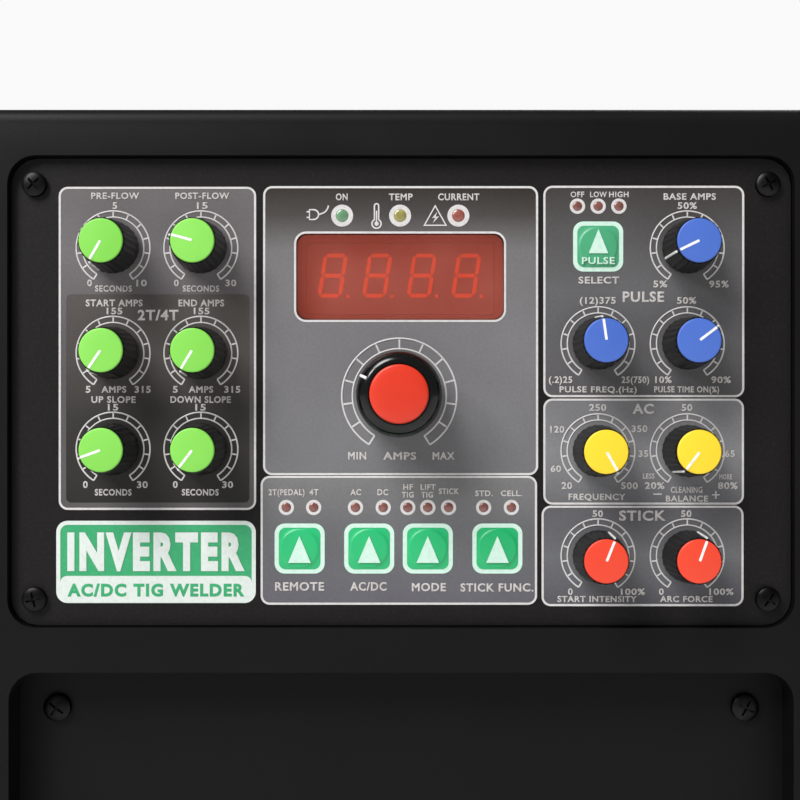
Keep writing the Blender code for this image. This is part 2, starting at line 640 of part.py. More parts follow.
def add_fan_blade(bm, turn, front, back):
    """One pitched blade, from inside the hub to just short of the bore."""
    stations = ((26.0, 20.0, 1.0), (48.0, 25.0, 0.85), (FAN_BORE - 3.5, 30.0, 0.7))
    middle = (front + back) / 2
    rings = []
    for radius, half_angle, depth in stations:
        ring = []
        for lead, side in ((-1, -1), (1, -1), (1, 1), (-1, 1)):
            angle = math.radians(turn + lead * half_angle * 0.5)
            y = middle + lead * (back - front) / 2 * depth + side * 1.1
            ring.append(bm.verts.new((radius * math.cos(angle), y, radius * math.sin(angle))))
        rings.append(ring)
    for first, second in zip(rings, rings[1:]):
        for i in range(4):
            j = (i + 1) % 4
            bm.faces.new((first[i], first[j], second[j], second[i]))
    bm.faces.new(rings[0][::-1])
    bm.faces.new(rings[-1])


def make_fan_guard():
    """The wire finger guard: four rings joined by a cross of flat arms."""
    wall = BODY_REAR - POCKET_DEPTH + GAP
    wire = 2.6
    bm = bmesh.new()
    prism(bm, circle(12, 16, FAN_CENTRE), wall, wall + 3)
    guard = new_object("fan_guard", bm, "steel")
    for angle in (45, 135):
        combine(guard, slanted_bar(FAN_BORE + 6, 2, wall, wall + 2.4, FAN_CENTRE, angle), "UNION")
    rings = bmesh.new()
    low, high = wall + 1.2, wall + 1.2 + wire
    for radius in (24.0, 37.0, 50.0, 63.0):
        inner, outer = radius - wire / 2, radius + wire / 2
        turned(rings, [(inner, low), (outer, low), (outer, high), (inner, high)], FAN_CENTRE, 20, closed=True)
    combine(guard, rings, "UNION")


def make_power_switch():
    """The mains breaker: its housing through the back panel, and the lever that tips in its slot."""
    x, z = SWITCH_PLACE
    wall = BODY_REAR - POCKET_DEPTH
    bm = bmesh.new()
    block(bm, (x - 18, 190, z - 26), (x + 18, wall + 1, z + 26))
    body = new_object("power_switch_body", bm, "black_plastic")
    flange = bmesh.new()
    prism(flange, rounded_rectangle(46, 62, 3, 2, SWITCH_PLACE), wall + GAP, wall + 2.6)
    combine(body, flange, "UNION")
    slot = bmesh.new()
    block(slot, (x - 7, 228, z - 16), (x + 7, wall + 4, z + 16))
    combine(body, slot, "DIFFERENCE")

    barrel = bmesh.new()
    turned(barrel, [(0, -6), (7, -6), (7, 6), (0, 6)], (0, 0), 16, "X")
    lever = new_object("power_switch_lever", barrel, "knob_black", at=(x, LEVER_PIVOT_Y, z))
    arm = bmesh.new()
    block(arm, (-5, 0, -3.2), (5, 26, 3.2))
    tilt = Matrix.Rotation(math.radians(LEVER_REST_TILT), 3, "X")
    bmesh.ops.rotate(arm, verts=arm.verts, cent=(0, 0, 0), matrix=tilt)
    bmesh.ops.translate(arm, verts=arm.verts, vec=(x, LEVER_PIVOT_Y, z))
    combine(lever, arm, "UNION")


def make_gas_valve():
    """The shielding-gas solenoid valve: hose barb outside, valve block and coil inside."""
    x, z = GAS_VALVE_PLACE
    wall = BODY_REAR - POCKET_DEPTH
    bm = bmesh.new()
    profile = [(0, wall + 2), (1.8, wall + 2), (1.8, BARB_TIP), (3.0, BARB_TIP), (4.6, BARB_TIP - 4),
               (3.6, BARB_TIP - 4.2), (3.6, BARB_TIP - 6), (4.6, BARB_TIP - 10), (3.6, BARB_TIP - 10.2),
               (3.6, wall + 9), (9.0, wall + 8), (9.0, wall + GAP), (7.0, wall + GAP), (7.0, 238), (0, 238)]
    turned(bm, profile, GAS_VALVE_PLACE, 12)
    valve = new_object("gas_solenoid_valve", bm, "brass")
    body = bmesh.new()
    block(body, (x - 15, 204, z - 15), (x + 15, 243, z + 15))
    combine(valve, body, "UNION")
    coil = bmesh.new()
    prism(coil, circle(17, 16, (x, 223)), z + 14, z + 46, "Z")
    combine(valve, coil, "UNION")


def make_cable_gland():
    """The mains cable's gland: dome nut outside, threaded neck through the wall, lock nut inside."""
    wall = BODY_REAR - POCKET_DEPTH
    inside = BODY_REAR - BEZEL_FACE - GAP
    bm = bmesh.new()
    profile = [(6.5, 232), (12.0, 232), (12.0, inside - 7), (15.5, inside - 7), (15.5, inside), (12.0, inside),
               (12.0, wall + GAP), (16.5, wall + GAP), (16.5, wall + 8), (14.5, wall + 9), (14.0, wall + 18),
               (10.0, wall + 23), (6.5, wall + 23)]
    turned(bm, profile, GLAND_PLACE, 16, closed=True)
    new_object("cable_gland", bm, "knob_black")


# ---------------------------------------------------------------- inside

def make_heat_sink():
    """The extruded aluminium heat sink, standing on its fins."""
    low = INSIDE_FLOOR
    top, root = low + 62, low + 54
    left, width, fins, fin = -104.0, 92.0, 9, 3.0
    pitch = (width - fin) / (fins - 1)
    outline = [(left, top)]
    for index in range(fins):
        start = left + index * pitch
        if index > 0:
            outline.append((start, root))
        outline += [(start, low), (start + fin, low)]
        if index < fins - 1:
            outline.append((start + fin, root))
    outline.append((left + width, top))
    bm = bmesh.new()
    prism(bm, outline, -130, 90)
    new_object("heat_sink", bm, "aluminium")
    return top


def make_inverter_board(sink_top):
    """The power board over the heat sink: transistor modules below, capacitors and chokes above."""
    board_low = sink_top + 12
    bm = bmesh.new()
    block(bm, (-104, -128, board_low), (-14, 88, board_low + 2))
    board = new_object("inverter_board", bm, "board_green")
    parts = bmesh.new()
    for y in (-108, -48, 12):
        block(parts, (-94, y, sink_top + GAP), (-60, y + 48, board_low + 1))
        block(parts, (-52, y, sink_top + GAP), (-24, y + 48, board_low + 1))
    for x, y in ((-82, -96), (-40, -96), (-82, -52), (-40, -52)):
        prism(parts, circle(17, 16, (x, y)), board_low + 1, board_low + 50, "Z")
    block(parts, (-92, -8, board_low + 1), (-32, 52, board_low + 34))
    combine(board, parts, "UNION")


def make_main_transformer():
    """The ferrite-cored main transformer with its winding through the core."""
    low = INSIDE_FLOOR
    bm = bmesh.new()
    block(bm, (8, -66, low), (104, -14, low + 92))
    core = new_object("main_transformer", bm, "copper")
    winding = bmesh.new()
    prism(winding, rounded_rectangle(66, 84, 16, 3, (56, -40)), low + 20, low + 72, "Z")
    combine(core, winding, "UNION")


def make_arc_starter_coil():
    """The high-frequency arc starter's coil on its insulating stand."""
    low = INSIDE_FLOOR
    bm = bmesh.new()
    axis = (-168.0, low + 48)
    turned(bm, [(0, 20), (26, 20), (26, 24), (20, 24), (20, 76), (26, 76), (26, 80), (0, 80)], axis, 20, "X")
    coil = new_object("arc_starter_coil", bm, "copper")
    stand = bmesh.new()
    block(stand, (28, -182, low), (72, -154, low + 34))
    combine(coil, stand, "UNION")


def build():
    clear_scene()
    make_base_chassis()
    make_case_cover()
    make_front_bezel()
    make_rear_bezel()
    make_feet()
    make_carry_handle()
    make_control_panel_plate()
    make_display_window()
    make_control_board()
    for knob in SMALL_KNOBS:
        make_knob(*knob, SMALL_PROFILE)
    make_knob(*MAIN_KNOB, MAIN_PROFILE)
    for key in KEYS:
        make_key(*key)
    make_output_socket("negative_output_socket", -OUTPUT_X)
    make_output_socket("positive_output_socket", OUTPUT_X)
    make_gas_outlet()
    make_remote_socket()
    make_fan()
    make_fan_guard()
    make_power_switch()
    make_gas_valve()
    make_cable_gland()
    make_inverter_board(make_heat_sink())
    make_main_transformer()
    make_arc_starter_coil()


build()
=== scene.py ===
# %% [markdown]
# # A portable TIG welding machine
# A TIG welder of this kind is a folded steel case between two moulded plastic ends. The front end frames a
# control panel full of knobs, keys and lamps. This lesson dresses a plain CAD model of it: each solid either
# gets a better material, or is covered by a finer mesh that stands for it.

# %% Load the CAD model
import json
import math

import bmesh
import bpy
from mathutils import Matrix, Vector

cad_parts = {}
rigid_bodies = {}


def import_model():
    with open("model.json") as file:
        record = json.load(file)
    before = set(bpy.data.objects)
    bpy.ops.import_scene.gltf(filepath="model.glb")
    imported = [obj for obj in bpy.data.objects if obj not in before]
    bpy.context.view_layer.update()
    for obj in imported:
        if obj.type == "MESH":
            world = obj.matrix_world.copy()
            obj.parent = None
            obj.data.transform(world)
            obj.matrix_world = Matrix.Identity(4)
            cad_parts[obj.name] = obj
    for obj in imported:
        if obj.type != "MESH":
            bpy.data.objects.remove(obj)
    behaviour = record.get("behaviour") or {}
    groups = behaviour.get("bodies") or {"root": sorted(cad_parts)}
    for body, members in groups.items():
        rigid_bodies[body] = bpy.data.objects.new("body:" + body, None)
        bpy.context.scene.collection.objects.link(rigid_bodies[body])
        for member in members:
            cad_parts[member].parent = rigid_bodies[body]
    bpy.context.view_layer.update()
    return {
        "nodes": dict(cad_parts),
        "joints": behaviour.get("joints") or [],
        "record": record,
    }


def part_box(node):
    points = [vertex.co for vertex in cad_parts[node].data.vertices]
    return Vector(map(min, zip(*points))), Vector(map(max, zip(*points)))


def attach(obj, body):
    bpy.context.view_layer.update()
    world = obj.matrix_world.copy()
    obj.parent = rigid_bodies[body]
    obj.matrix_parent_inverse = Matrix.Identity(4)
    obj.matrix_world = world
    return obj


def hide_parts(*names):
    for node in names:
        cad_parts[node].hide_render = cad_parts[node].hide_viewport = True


for leftover in list(bpy.data.objects):
    bpy.data.objects.remove(leftover, do_unlink=True)
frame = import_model()

# %% [markdown]
# ## Working in millimetres
# Blender works in metres, but a maker measures such a machine in millimetres. So every shape below is drawn in
# millimetres round an origin of its own, and one function scales it, moves it to its place in the machine and
# makes an object of it. The object itself stays at the scene's origin: only its mesh moves. Patterns that read
# Object coordinates then have their real size everywhere.

# %% Make an object of a drawn shape
MM = 0.001
machine = bpy.context.scene.collection


def new_piece(name, bm, origin=(0, 0, 0), turn=None, smooth=30):
    """Makes an object of bm, which is drawn in millimetres round origin, itself in metres."""
    bmesh.ops.remove_doubles(bm, verts=bm.verts, dist=0.0005)
    bmesh.ops.recalc_face_normals(bm, faces=bm.faces)
    if turn is not None:
        bmesh.ops.transform(bm, matrix=turn, verts=bm.verts)
    bmesh.ops.scale(bm, vec=(MM, MM, MM), verts=bm.verts)
    bmesh.ops.translate(bm, vec=origin, verts=bm.verts)
    mesh = bpy.data.meshes.new(name)
    bm.to_mesh(mesh)
    bm.free()
    mesh.shade_smooth()
    mesh.set_sharp_from_angle(angle=math.radians(smooth))
    piece = bpy.data.objects.new(name, mesh)
    machine.objects.link(piece)
    return piece


# %% Finish and fasten a piece
def fix(piece, body, finish, stands_for=()):
    """Gives a piece its finish and fastens it to a body of the machine."""
    piece.data.materials.clear()
    piece.data.materials.append(finish)
    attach(piece, body)
    if stands_for:
        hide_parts(*stands_for)
    print(f"{piece.name}: {len(piece.data.polygons)} faces of {finish.name}, on {body}")
    return piece


def dress(node, finish):
    """Gives a finish to a CAD solid that keeps its own shape."""
    solid = frame["nodes"][node]
    solid.data.materials.clear()
    solid.data.materials.append(finish)
    print(f"{node}: kept from the CAD, in {finish.name}")


def settle(piece):
    """Turns a piece and its modifiers into a plain mesh."""
    graph = bpy.context.evaluated_depsgraph_get()
    mesh = bpy.data.meshes.new_from_object(piece.evaluated_get(graph))
    piece.modifiers.clear()
    piece.data = mesh
    return piece


def centre_of(node):
    low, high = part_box(node)
    return (low + high) / 2


# %% [markdown]
# ## Drawing tools
# Nearly everything on the machine is either turned on a lathe or cut from flat stock, so two helpers draw most
# of it. `lathe` spins a profile round the Y axis, which points from the front of the machine to its back.
# `add_slab` fills outlines and gives them a thickness. It uses a 2D curve, because Blender fills one with its
# holes by itself: an outline inside another becomes a hole. `add_tube` bends round bar along a path. What a
# drill or a mill would take away is then cut out with a Boolean, and a bevel rounds the edges that it leaves.

# %% Turn a shape on the lathe
def bridge(bm, rings, count):
    """Joins each ring of vertices to the next one. A ring of one vertex draws the shape to a point."""
    for first, second in zip(rings, rings[1:]):
        for i in range(count):
            j = (i + 1) % count
            corners = [first[i % len(first)], first[j % len(first)],
                       second[j % len(second)], second[i % len(second)]]
            corners = list(dict.fromkeys(corners))
            if len(corners) > 2:
                bm.faces.new(corners)


def lathe(profile, segments=48, closed=False):
    """A turned shape. profile lists (radius, y): y is negative in front of the origin."""
    bm = bmesh.new()
    rings = []
    for radius, y in profile:
        count = segments if radius > 0 else 1
        turns = [2 * math.pi * i / count for i in range(count)]
        rings.append([bm.verts.new((radius * math.cos(t), y, radius * math.sin(t))) for t in turns])
    bridge(bm, rings + rings[:1] if closed else rings, segments)
    return bm


# %% Draw an outline
def arc(centre, radius, start, end, steps):
    """Points on an arc, for a rounded edge in a profile or a corner in an outline. Angles are in degrees."""
    turns = [math.radians(start + (end - start) * i / steps) for i in range(steps + 1)]
    return [(centre[0] + radius * math.cos(t), centre[1] + radius * math.sin(t)) for t in turns]


def rounded(width, height, radius, centre=(0, 0), steps=8):
    """The outline of a rectangle with round corners."""
    outline = []
    for start, side, level in ((-90, 1, -1), (0, 1, 1), (90, -1, 1), (180, -1, -1)):
        corner = (centre[0] + side * (width / 2 - radius), centre[1] + level * (height / 2 - radius))
        outline += arc(corner, radius, start, start + 90, steps)
    return outline


def disc(radius, centre=(0, 0), steps=32):
    return arc(centre, radius, 0, 360 * (steps - 1) / steps, steps - 1)


# %% Cut flat stock
def add_slab(bm, loops, front, back):
    """Adds flat stock whose outlines are lists of (x, z), from depth front to depth back."""
    curve = bpy.data.curves.new("outline", "CURVE")
    curve.dimensions, curve.fill_mode = "2D", "BOTH"
    curve.extrude = (back - front) / 2
    for loop in loops:
        spline = curve.splines.new("POLY")
        spline.points.add(len(loop) - 1)
        for point, (x, z) in zip(spline.points, loop):
            point.co = (x, z, 0, 1)
        spline.use_cyclic_u = True
    holder = bpy.data.objects.new("outline", curve)
    mesh = bpy.data.meshes.new_from_object(holder)
    upright = Matrix.Translation((0, (front + back) / 2, 0)) @ Matrix.Rotation(math.radians(90), 4, "X")
    mesh.transform(upright)
    bm.from_mesh(mesh)
    bpy.data.objects.remove(holder)
    bpy.data.curves.remove(curve)
    bpy.data.meshes.remove(mesh)


def slab(loops, front, back):
    bm = bmesh.new()
    add_slab(bm, loops, front, back)
    return bm


# %% Boxes, bars and joined shapes
def add_shape(bm, other):
    """Adds one drawn shape to another, and frees it."""
    scratch = bpy.data.meshes.new("scratch")
    other.to_mesh(scratch)
    other.free()
    bm.from_mesh(scratch)
    bpy.data.meshes.remove(scratch)


def add_box(bm, low, high):
    made = bmesh.ops.create_cube(bm, size=1)["verts"]
    size = [h - l for l, h in zip(low, high)]
    middle = [(h + l) / 2 for l, h in zip(low, high)]
    bmesh.ops.scale(bm, vec=size, verts=made)
    bmesh.ops.translate(bm, vec=middle, verts=made)
    return made


def add_tube(bm, path, radius, sides=16, closed=False, flatten=None):
    """Adds round bar along a path of (x, y, z). flatten=(y, thickness) presses it into a printed line."""
    curve = bpy.data.curves.new("path", "CURVE")
    curve.dimensions, curve.bevel_depth, curve.use_fill_caps = "3D", radius, True
    curve.bevel_resolution = max(sides // 4 - 1, 0)
    spline = curve.splines.new("POLY")
    spline.points.add(len(path) - 1)
    for point, place in zip(spline.points, path):
        point.co = (*place, 1)
    spline.use_cyclic_u = closed
    holder = bpy.data.objects.new("path", curve)
    mesh = bpy.data.meshes.new_from_object(holder)
    if flatten:
        depth, thickness = flatten
        squash = Matrix.Diagonal((1, thickness / (2 * radius), 1, 1))
        mesh.transform(Matrix.Translation((0, depth, 0)) @ squash)
    bm.from_mesh(mesh)
    bpy.data.objects.remove(holder)
    bpy.data.curves.remove(curve)
    bpy.data.meshes.remove(mesh)


# %% Round an edge, cut a shape
def soften(piece, width, segments=3, angle=40):
    """Rounds a piece's sharp edges. width is in millimetres."""
    bevel = piece.modifiers.new("rounded edges", "BEVEL")
    bevel.width, bevel.segments = width * MM, segments
    bevel.limit_method, bevel.angle_limit = "ANGLE", math.radians(angle)
    bevel.harden_normals = True
    return settle(piece)


def carve(piece, bm, origin=(0, 0, 0), operation="DIFFERENCE"):
    """Cuts a drawn shape out of a piece, or joins it on."""
    tool = new_piece("tool", bm, origin)
    cut = piece.modifiers.new("cut", "BOOLEAN")
    cut.operation, cut.solver, cut.object = operation, "EXACT", tool
    settle(piece)
    bpy.data.objects.remove(tool)
    return piece


# %% [markdown]
# ## A node at a time
# Materials and Geometry Nodes are both trees of nodes. One helper adds a node to either: its settings are set by
# name, and each input is given a number, a colour or another node's output. Every finish starts as a Principled
# shader with plain values. Then its colour, roughness and relief each follow a texture a little, because an even
# surface looks like a drawing of the material rather than the material.

# %% Add a node
def add(tree, kind, inputs=None, **settings):
    """Adds one node. inputs maps a socket's name or number to a value or to another node's output."""
    made = tree.nodes.new(kind)
    for name, value in settings.items():
        setattr(made, name, value)
    for socket, value in (inputs or {}).items():
        if isinstance(value, bpy.types.NodeSocket):
            tree.links.new(value, made.inputs[socket])
        else:
            made.inputs[socket].default_value = value
    return made


# %% Start a finish
def linear(colour):
    """The linear colour that a shader needs, from an sRGB hex value such as 3dd58b."""
    parts = [int(colour[i:i + 2], 16) / 255 for i in (0, 2, 4)]
    return (*(p / 12.92 if p <= 0.04045 else ((p + 0.055) / 1.055) ** 2.4 for p in parts), 1.0)


def per_metre(size):
    """The scale of a texture whose features are this many millimetres across."""
    return 1000 / size


def start_finish(name, colour, roughness, metallic=0.0, **sockets):
    """A Principled material with plain values. Returns it with its tree, shader and Object coordinates."""
    material = bpy.data.materials.new(name)
    material.use_nodes = True
    tree = material.node_tree
    shader = tree.nodes["Principled BSDF"]
    plain = {"Base Color": linear(colour), "Roughness": roughness, "Metallic": metallic}
    plain.update({key.replace("_", " "): value for key, value in sockets.items()})
    for key, value in plain.items():
        shader.inputs[key].default_value = value
    print(f"finish {name}: colour {colour}, roughness {roughness}")
    return material, tree, shader, add(tree, "ShaderNodeTexCoord").outputs["Object"]


# %% Let a finish vary
def vary_colour(tree, shader, amount, first, second, spread=(0.35, 0.65)):
    """Runs the base colour between two hex values by a texture's 0 to 1."""
    ramp = add(tree, "ShaderNodeValToRGB", {"Fac": amount})
    for stop, place, colour in zip(ramp.color_ramp.elements, spread, (first, second)):
        stop.position, stop.color = place, linear(colour)
    tree.links.new(ramp.outputs["Color"], shader.inputs["Base Color"])


def vary_roughness(tree, shader, amount, least, most):
    spread = add(tree, "ShaderNodeMapRange", {"Value": amount, "To Min": least, "To Max": most})
    tree.links.new(spread.outputs["Result"], shader.inputs["Roughness"])


def raise_surface(tree, shader, height, depth, strength=1.0):
    """Bumps the surface by a texture's 0 to 1. depth is in millimetres."""
    bump = add(tree, "ShaderNodeBump", {"Height": height, "Distance": depth * MM, "Strength": strength})
    tree.links.new(bump.outputs["Normal"], shader.inputs["Normal"])


# %% [markdown]
# ## Moulded plastic
# The two ends, the fan and the switch are ABS, moulded in a tool whose steel was spark-eroded. That leaves a fine
# leathery grain that scatters highlights. The real grain is about 0.2 mm, too fine to see from where a person
# stands, so it's drawn at 0.7 mm. It could be displaced geometry, but a bump is enough for a grain that never
# breaks the outline. A broader cloud lightens and dulls the plastic where hands have rubbed it. Knobs are
# glass-filled nylon, smoother, with a satin sheen, and the coloured caps are unfilled ABS from a polished tool.

# %% Plastics
def moulded_plastic(name, colour, worn, roughness, grain=0.7, depth=0.03, ior=1.53, shine=0.5):
    material, tree, shader, place = start_finish(name, colour, roughness, IOR=ior, Specular_IOR_Level=shine)
    skin = add(tree, "ShaderNodeTexNoise", {"Vector": place, "Scale": per_metre(grain), "Detail": 3.0})
    handling = add(tree, "ShaderNodeTexNoise", {"Vector": place, "Scale": per_metre(38), "Detail": 4.0})
    vary_colour(tree, shader, handling.outputs["Fac"], colour, worn)
    vary_roughness(tree, shader, handling.outputs["Fac"], roughness - 0.07, roughness + 0.09)
    raise_surface(tree, shader, skin.outputs["Fac"], depth)
    return material


textured_abs = moulded_plastic("spark-eroded black ABS", "060606", "0a0a0a", 0.52, shine=0.15)
fan_abs = moulded_plastic("moulded fan ABS", "161616", "202020", 0.42, grain=1.4, depth=0.01)
knob_nylon = moulded_plastic("satin black nylon", "070606", "0f0d0c", 0.42, grain=0.5, depth=0.012, shine=0.25)
gloss_nylon = moulded_plastic("polished black nylon", "050505", "090908", 0.16, grain=3.0, depth=0.004, shine=0.4)
cap_finishes = {
    "green_cap": moulded_plastic("green cap ABS", "7dcf4a", "88d956", 0.42, grain=0.9, depth=0.006),
    "blue_cap": moulded_plastic("blue cap ABS", "3d61bb", "466bc4", 0.42, grain=0.9, depth=0.006),
    "yellow_cap": moulded_plastic("yellow cap ABS", "f9d11f", "fdd72d", 0.42, grain=0.9, depth=0.006),
    "red_cap": moulded_plastic("red cap ABS", "e6371c", "eb4224", 0.42, grain=0.9, depth=0.006),
}
main_cap_red = moulded_plastic("main cap red ABS", "d42c0f", "db3416", 0.36, grain=0.9, depth=0.006)
key_green = moulded_plastic("embossed green polyester", "1aae68", "23b872", 0.34, grain=0.8, depth=0.01)
pulse_key_green = moulded_plastic("printed green polyester", "46a274", "50ab7c", 0.36, grain=0.8, depth=0.01)
socket_nylon = moulded_plastic("glass-filled nylon", "121212", "1d1d1d", 0.45, grain=1.1, depth=0.02)
foot_rubber = moulded_plastic("moulded rubber", "141414", "242424", 0.8, grain=1.3, depth=0.05, ior=1.52)
grip_rubber = moulded_plastic("grip rubber", "181818", "262626", 0.7, grain=0.9, depth=0.05, ior=1.52)

# %% [markdown]
# ## Painted sheet metal
# The case and the chassis are powder-coated: a dry powder is blown on and melted. It never flows out quite flat,
# so it keeps an orange-peel skin a couple of millimetres across, which a noise raises, and fine specks of
# pigment, which are the cell centres of a Voronoi pattern. The control panel is painted the same way in black,
# with a finer and rougher skin.

# %% Powder coats
def powder_coat(name, colour, other, roughness, peel=2.4, depth=0.05, shine=0.5):
    material, tree, shader, place = start_finish(name, colour, roughness, IOR=1.52, Specular_IOR_Level=shine)
    skin = add(tree, "ShaderNodeTexNoise", {"Vector": place, "Scale": per_metre(peel), "Detail": 2.0})
    specks = add(tree, "ShaderNodeTexVoronoi", {"Vector": place, "Scale": per_metre(0.9)})
    vary_colour(tree, shader, specks.outputs["Distance"], other, colour, spread=(0.1, 0.45))
    vary_roughness(tree, shader, skin.outputs["Fac"], roughness - 0.06, roughness + 0.1)
    raise_surface(tree, shader, skin.outputs["Fac"], depth, 0.6)
    return material


case_paint = powder_coat("green powder coat", "1c7a43", "2a8b52", 0.36)
base_paint = powder_coat("dark grey powder coat", "27282a", "3a3b3d", 0.48)
panel_paint = powder_coat("black textured panel paint", "120f0f", "1c1918", 0.55, peel=0.9, depth=0.02, shine=0.2)

# %% [markdown]
# ## Screen print
# The face of the panel is printed. Each group of controls sits on a grey field that fades towards the top, inside
# a thin pale line, and the words are printed on it in the same pale ink. The fade is partly the print's own tone and
# partly painted shade: the light and shade across the panel, laid into the grey. A fade is a colour ramp along Z, so
# it has the same place on the panel from every side. Ink has a slight grain from the mesh of the screen, and never
# covers evenly.

# %% Inks
def fade_with_painted_shade(name, low, high, stops):
    """A printed field that fades between heights low and high, in metres: the print's grey with painted shade laid into
    it. stops run from bottom to top.
    """
    material, tree, shader, place = start_finish(name, stops[0][1], 0.5, IOR=1.5, Specular_IOR_Level=0.3)
    height = add(tree, "ShaderNodeSeparateXYZ", {"Vector": place}).outputs["Z"]
    amount = add(tree, "ShaderNodeMapRange", {"Value": height, "From Min": low, "From Max": high})
    ramp = add(tree, "ShaderNodeValToRGB", {"Fac": amount.outputs["Result"]})
    elements = ramp.color_ramp.elements
    while len(elements) < len(stops):
        elements.new(0.5)
    for stop, (position, colour) in zip(elements, stops):
        stop.position, stop.color = position, linear(colour)
    mesh_grain = add(tree, "ShaderNodeTexNoise", {"Vector": place, "Scale": per_metre(0.8), "Detail": 4.0})
    cloud = add(tree, "ShaderNodeTexNoise", {"Vector": place, "Scale": per_metre(22), "Detail": 3.0})
    mix = add(tree, "ShaderNodeMath", {0: mesh_grain.outputs["Fac"], 1: cloud.outputs["Fac"]}, operation="ADD")
    shade = add(tree, "ShaderNodeMapRange",
                {"Value": mix.outputs[0], "From Min": 0.6, "From Max": 1.4, "To Min": 0.86, "To Max": 1.12})
    tint = add(tree, "ShaderNodeVectorMath", {0: ramp.outputs["Color"], "Scale": shade.outputs["Result"]},
               operation="SCALE")
    tree.links.new(tint.outputs["Vector"], shader.inputs["Base Color"])
    vary_roughness(tree, shader, cloud.outputs["Fac"], 0.4, 0.54)
    raise_surface(tree, shader, mesh_grain.outputs["Fac"], 0.015)
    return material


def ink(name, colour, faded, roughness=0.5):
    material, tree, shader, place = start_finish(name, colour, roughness, IOR=1.5)
    cover = add(tree, "ShaderNodeTexNoise", {"Vector": place, "Scale": per_metre(1.1), "Detail": 4.0})
    vary_colour(tree, shader, cover.outputs["Fac"], faded, colour, spread=(0.3, 0.55))
    raise_surface(tree, shader, cover.outputs["Fac"], 0.01)
    return material


pale_ink = ink("pale grey ink", "d4d0cf", "c8c4c3")
legend_ink = ink("legend ink", "c9c4c1", "b3adaa")
key_border_ink = ink("pale green ink", "cdeadb", "c3e2d2")
badge_green_ink = ink("badge green ink", "2f9f67", "38a66e")
badge_white_ink = ink("badge white ink", "d8e0da", "cfd9d2")
pointer_paint = ink("white pointer paint", "f2f2f0", "dededb", 0.42)

# %% [markdown]
# ## Metals
# Bare metal keeps the marks of the tool that made it. Zinc-plated wire and sheet have cloudy blotches, turned
# brass and drawn aluminium have fine lines along the cut. The lines are a noise stretched along one axis, and
# they disturb the roughness more than the colour.

# %% Metals
def bare_metal(name, colour, tarnish, roughness, lines=(1, 1, 1), size=0.5):
    """lines stretches the pattern: a small number along an axis draws the lines out that way."""
    material, tree, shader, place = start_finish(name, colour, roughness, metallic=1.0)
    stretched = add(tree, "ShaderNodeMapping", {"Vector": place, "Scale": lines}).outputs["Vector"]
    marks = add(tree, "ShaderNodeTexNoise", {"Vector": stretched, "Scale": per_metre(size), "Detail": 3.0})
    cloud = add(tree, "ShaderNodeTexNoise", {"Vector": place, "Scale": per_metre(9), "Detail": 4.0})
    vary_colour(tree, shader, cloud.outputs["Fac"], colour, tarnish)
    vary_roughness(tree, shader, marks.outputs["Fac"], roughness - 0.1, roughness + 0.12)
    raise_surface(tree, shader, marks.outputs["Fac"], 0.01)
    return material


zinc_wire = bare_metal("zinc-plated wire", "b9bcc0", "9fa3a8", 0.3)
turned_brass = bare_metal("turned brass", "d2b064", "b8954c", 0.28, lines=(1, 6, 1))
nickel = bare_metal("nickel-plated shell", "c6c4bd", "aeaca4", 0.22, lines=(1, 5, 1))
black_oxide = bare_metal("black oxide screw", "2b2a2a", "1b1b1b", 0.38, size=0.3)
extrusion = bare_metal("extruded aluminium", "c3c6c8", "aeb2b4", 0.35, lines=(1, 0.05, 1))
enamelled_wire = bare_metal("enamelled copper wire", "b8693a", "8f4a26", 0.33, lines=(0.2, 0.2, 4), size=1.2)

# %% [markdown]
# ## Circuit board, lamps and window
# The board is glass-epoxy under green solder mask, with copper tracks just showing as paler lines. Unlit lamps
# are coloured epoxy whose gloss comes from a clear coat. The unlit display segments also get a faint painted glow:
# an emission that makes them show brightly behind the dark window.
# The window is tinted acrylic. Real refraction would need many samples to settle, so it's drawn as a thin tinted
# film: part colour, part see-through, with a polished face.

# %% Board, lamps and window
def circuit_board(name):
    material, tree, shader, place = start_finish(name, "10502c", 0.35, IOR=1.55)
    tracks = add(tree, "ShaderNodeTexVoronoi", {"Vector": place, "Scale": per_metre(5)}, distance="MANHATTAN")
    vary_colour(tree, shader, tracks.outputs["Distance"], "1c6b3d", "0d4425", spread=(0.2, 0.3))
    raise_surface(tree, shader, tracks.outputs["Distance"], 0.03)
    return material


# The glow argument is painted light: an emission on a part that is not lit.
def lamp_epoxy(name, colour, core, painted_glow=0.0):
    material, tree, shader, place = start_finish(name, colour, 0.3, Coat_Weight=0.8, Coat_Roughness=0.08,
                                                 Emission_Color=linear(colour), Emission_Strength=painted_glow)
    haze = add(tree, "ShaderNodeTexNoise", {"Vector": place, "Scale": per_metre(1.6), "Detail": 2.0})
    vary_colour(tree, shader, haze.outputs["Fac"], colour, core)
    return material


def tinted_window(name):
    material, tree, shader, place = start_finish(name, "ac4b3b", 0.14, Alpha=0.34, IOR=1.49)
    haze = add(tree, "ShaderNodeTexNoise", {"Vector": place, "Scale": per_metre(14), "Detail": 5.0})
    vary_colour(tree, shader, haze.outputs["Fac"], "a54434", "b25446")
    vary_roughness(tree, shader, haze.outputs["Fac"], 0.1, 0.3)
    return material


board_mask = circuit_board("green solder mask")
lamp_finishes = {
    "on": lamp_epoxy("green lamp epoxy", "5d8a63", "6f9c72"),
    "temp": lamp_epoxy("yellow lamp epoxy", "8c8544", "a09a55"),
    "current": lamp_epoxy("red lamp epoxy", "8a4438", "99564a"),
    "small": lamp_epoxy("small red lamp epoxy", "6f4038", "865149"),
}
window_acrylic = tinted_window("red tinted acrylic")
module_face = ink("display module face", "bb6a5c", "ae6154", 0.6)
module_edge = ink("display module edge", "b86250", "ac5848", 0.6)
# The segments are unlit; their emission is a painted glow that brightens them behind the window.
segments_with_painted_glow = lamp_epoxy("orange segment epoxy with painted glow", "ff5430", "ff6038", painted_glow=0.45)

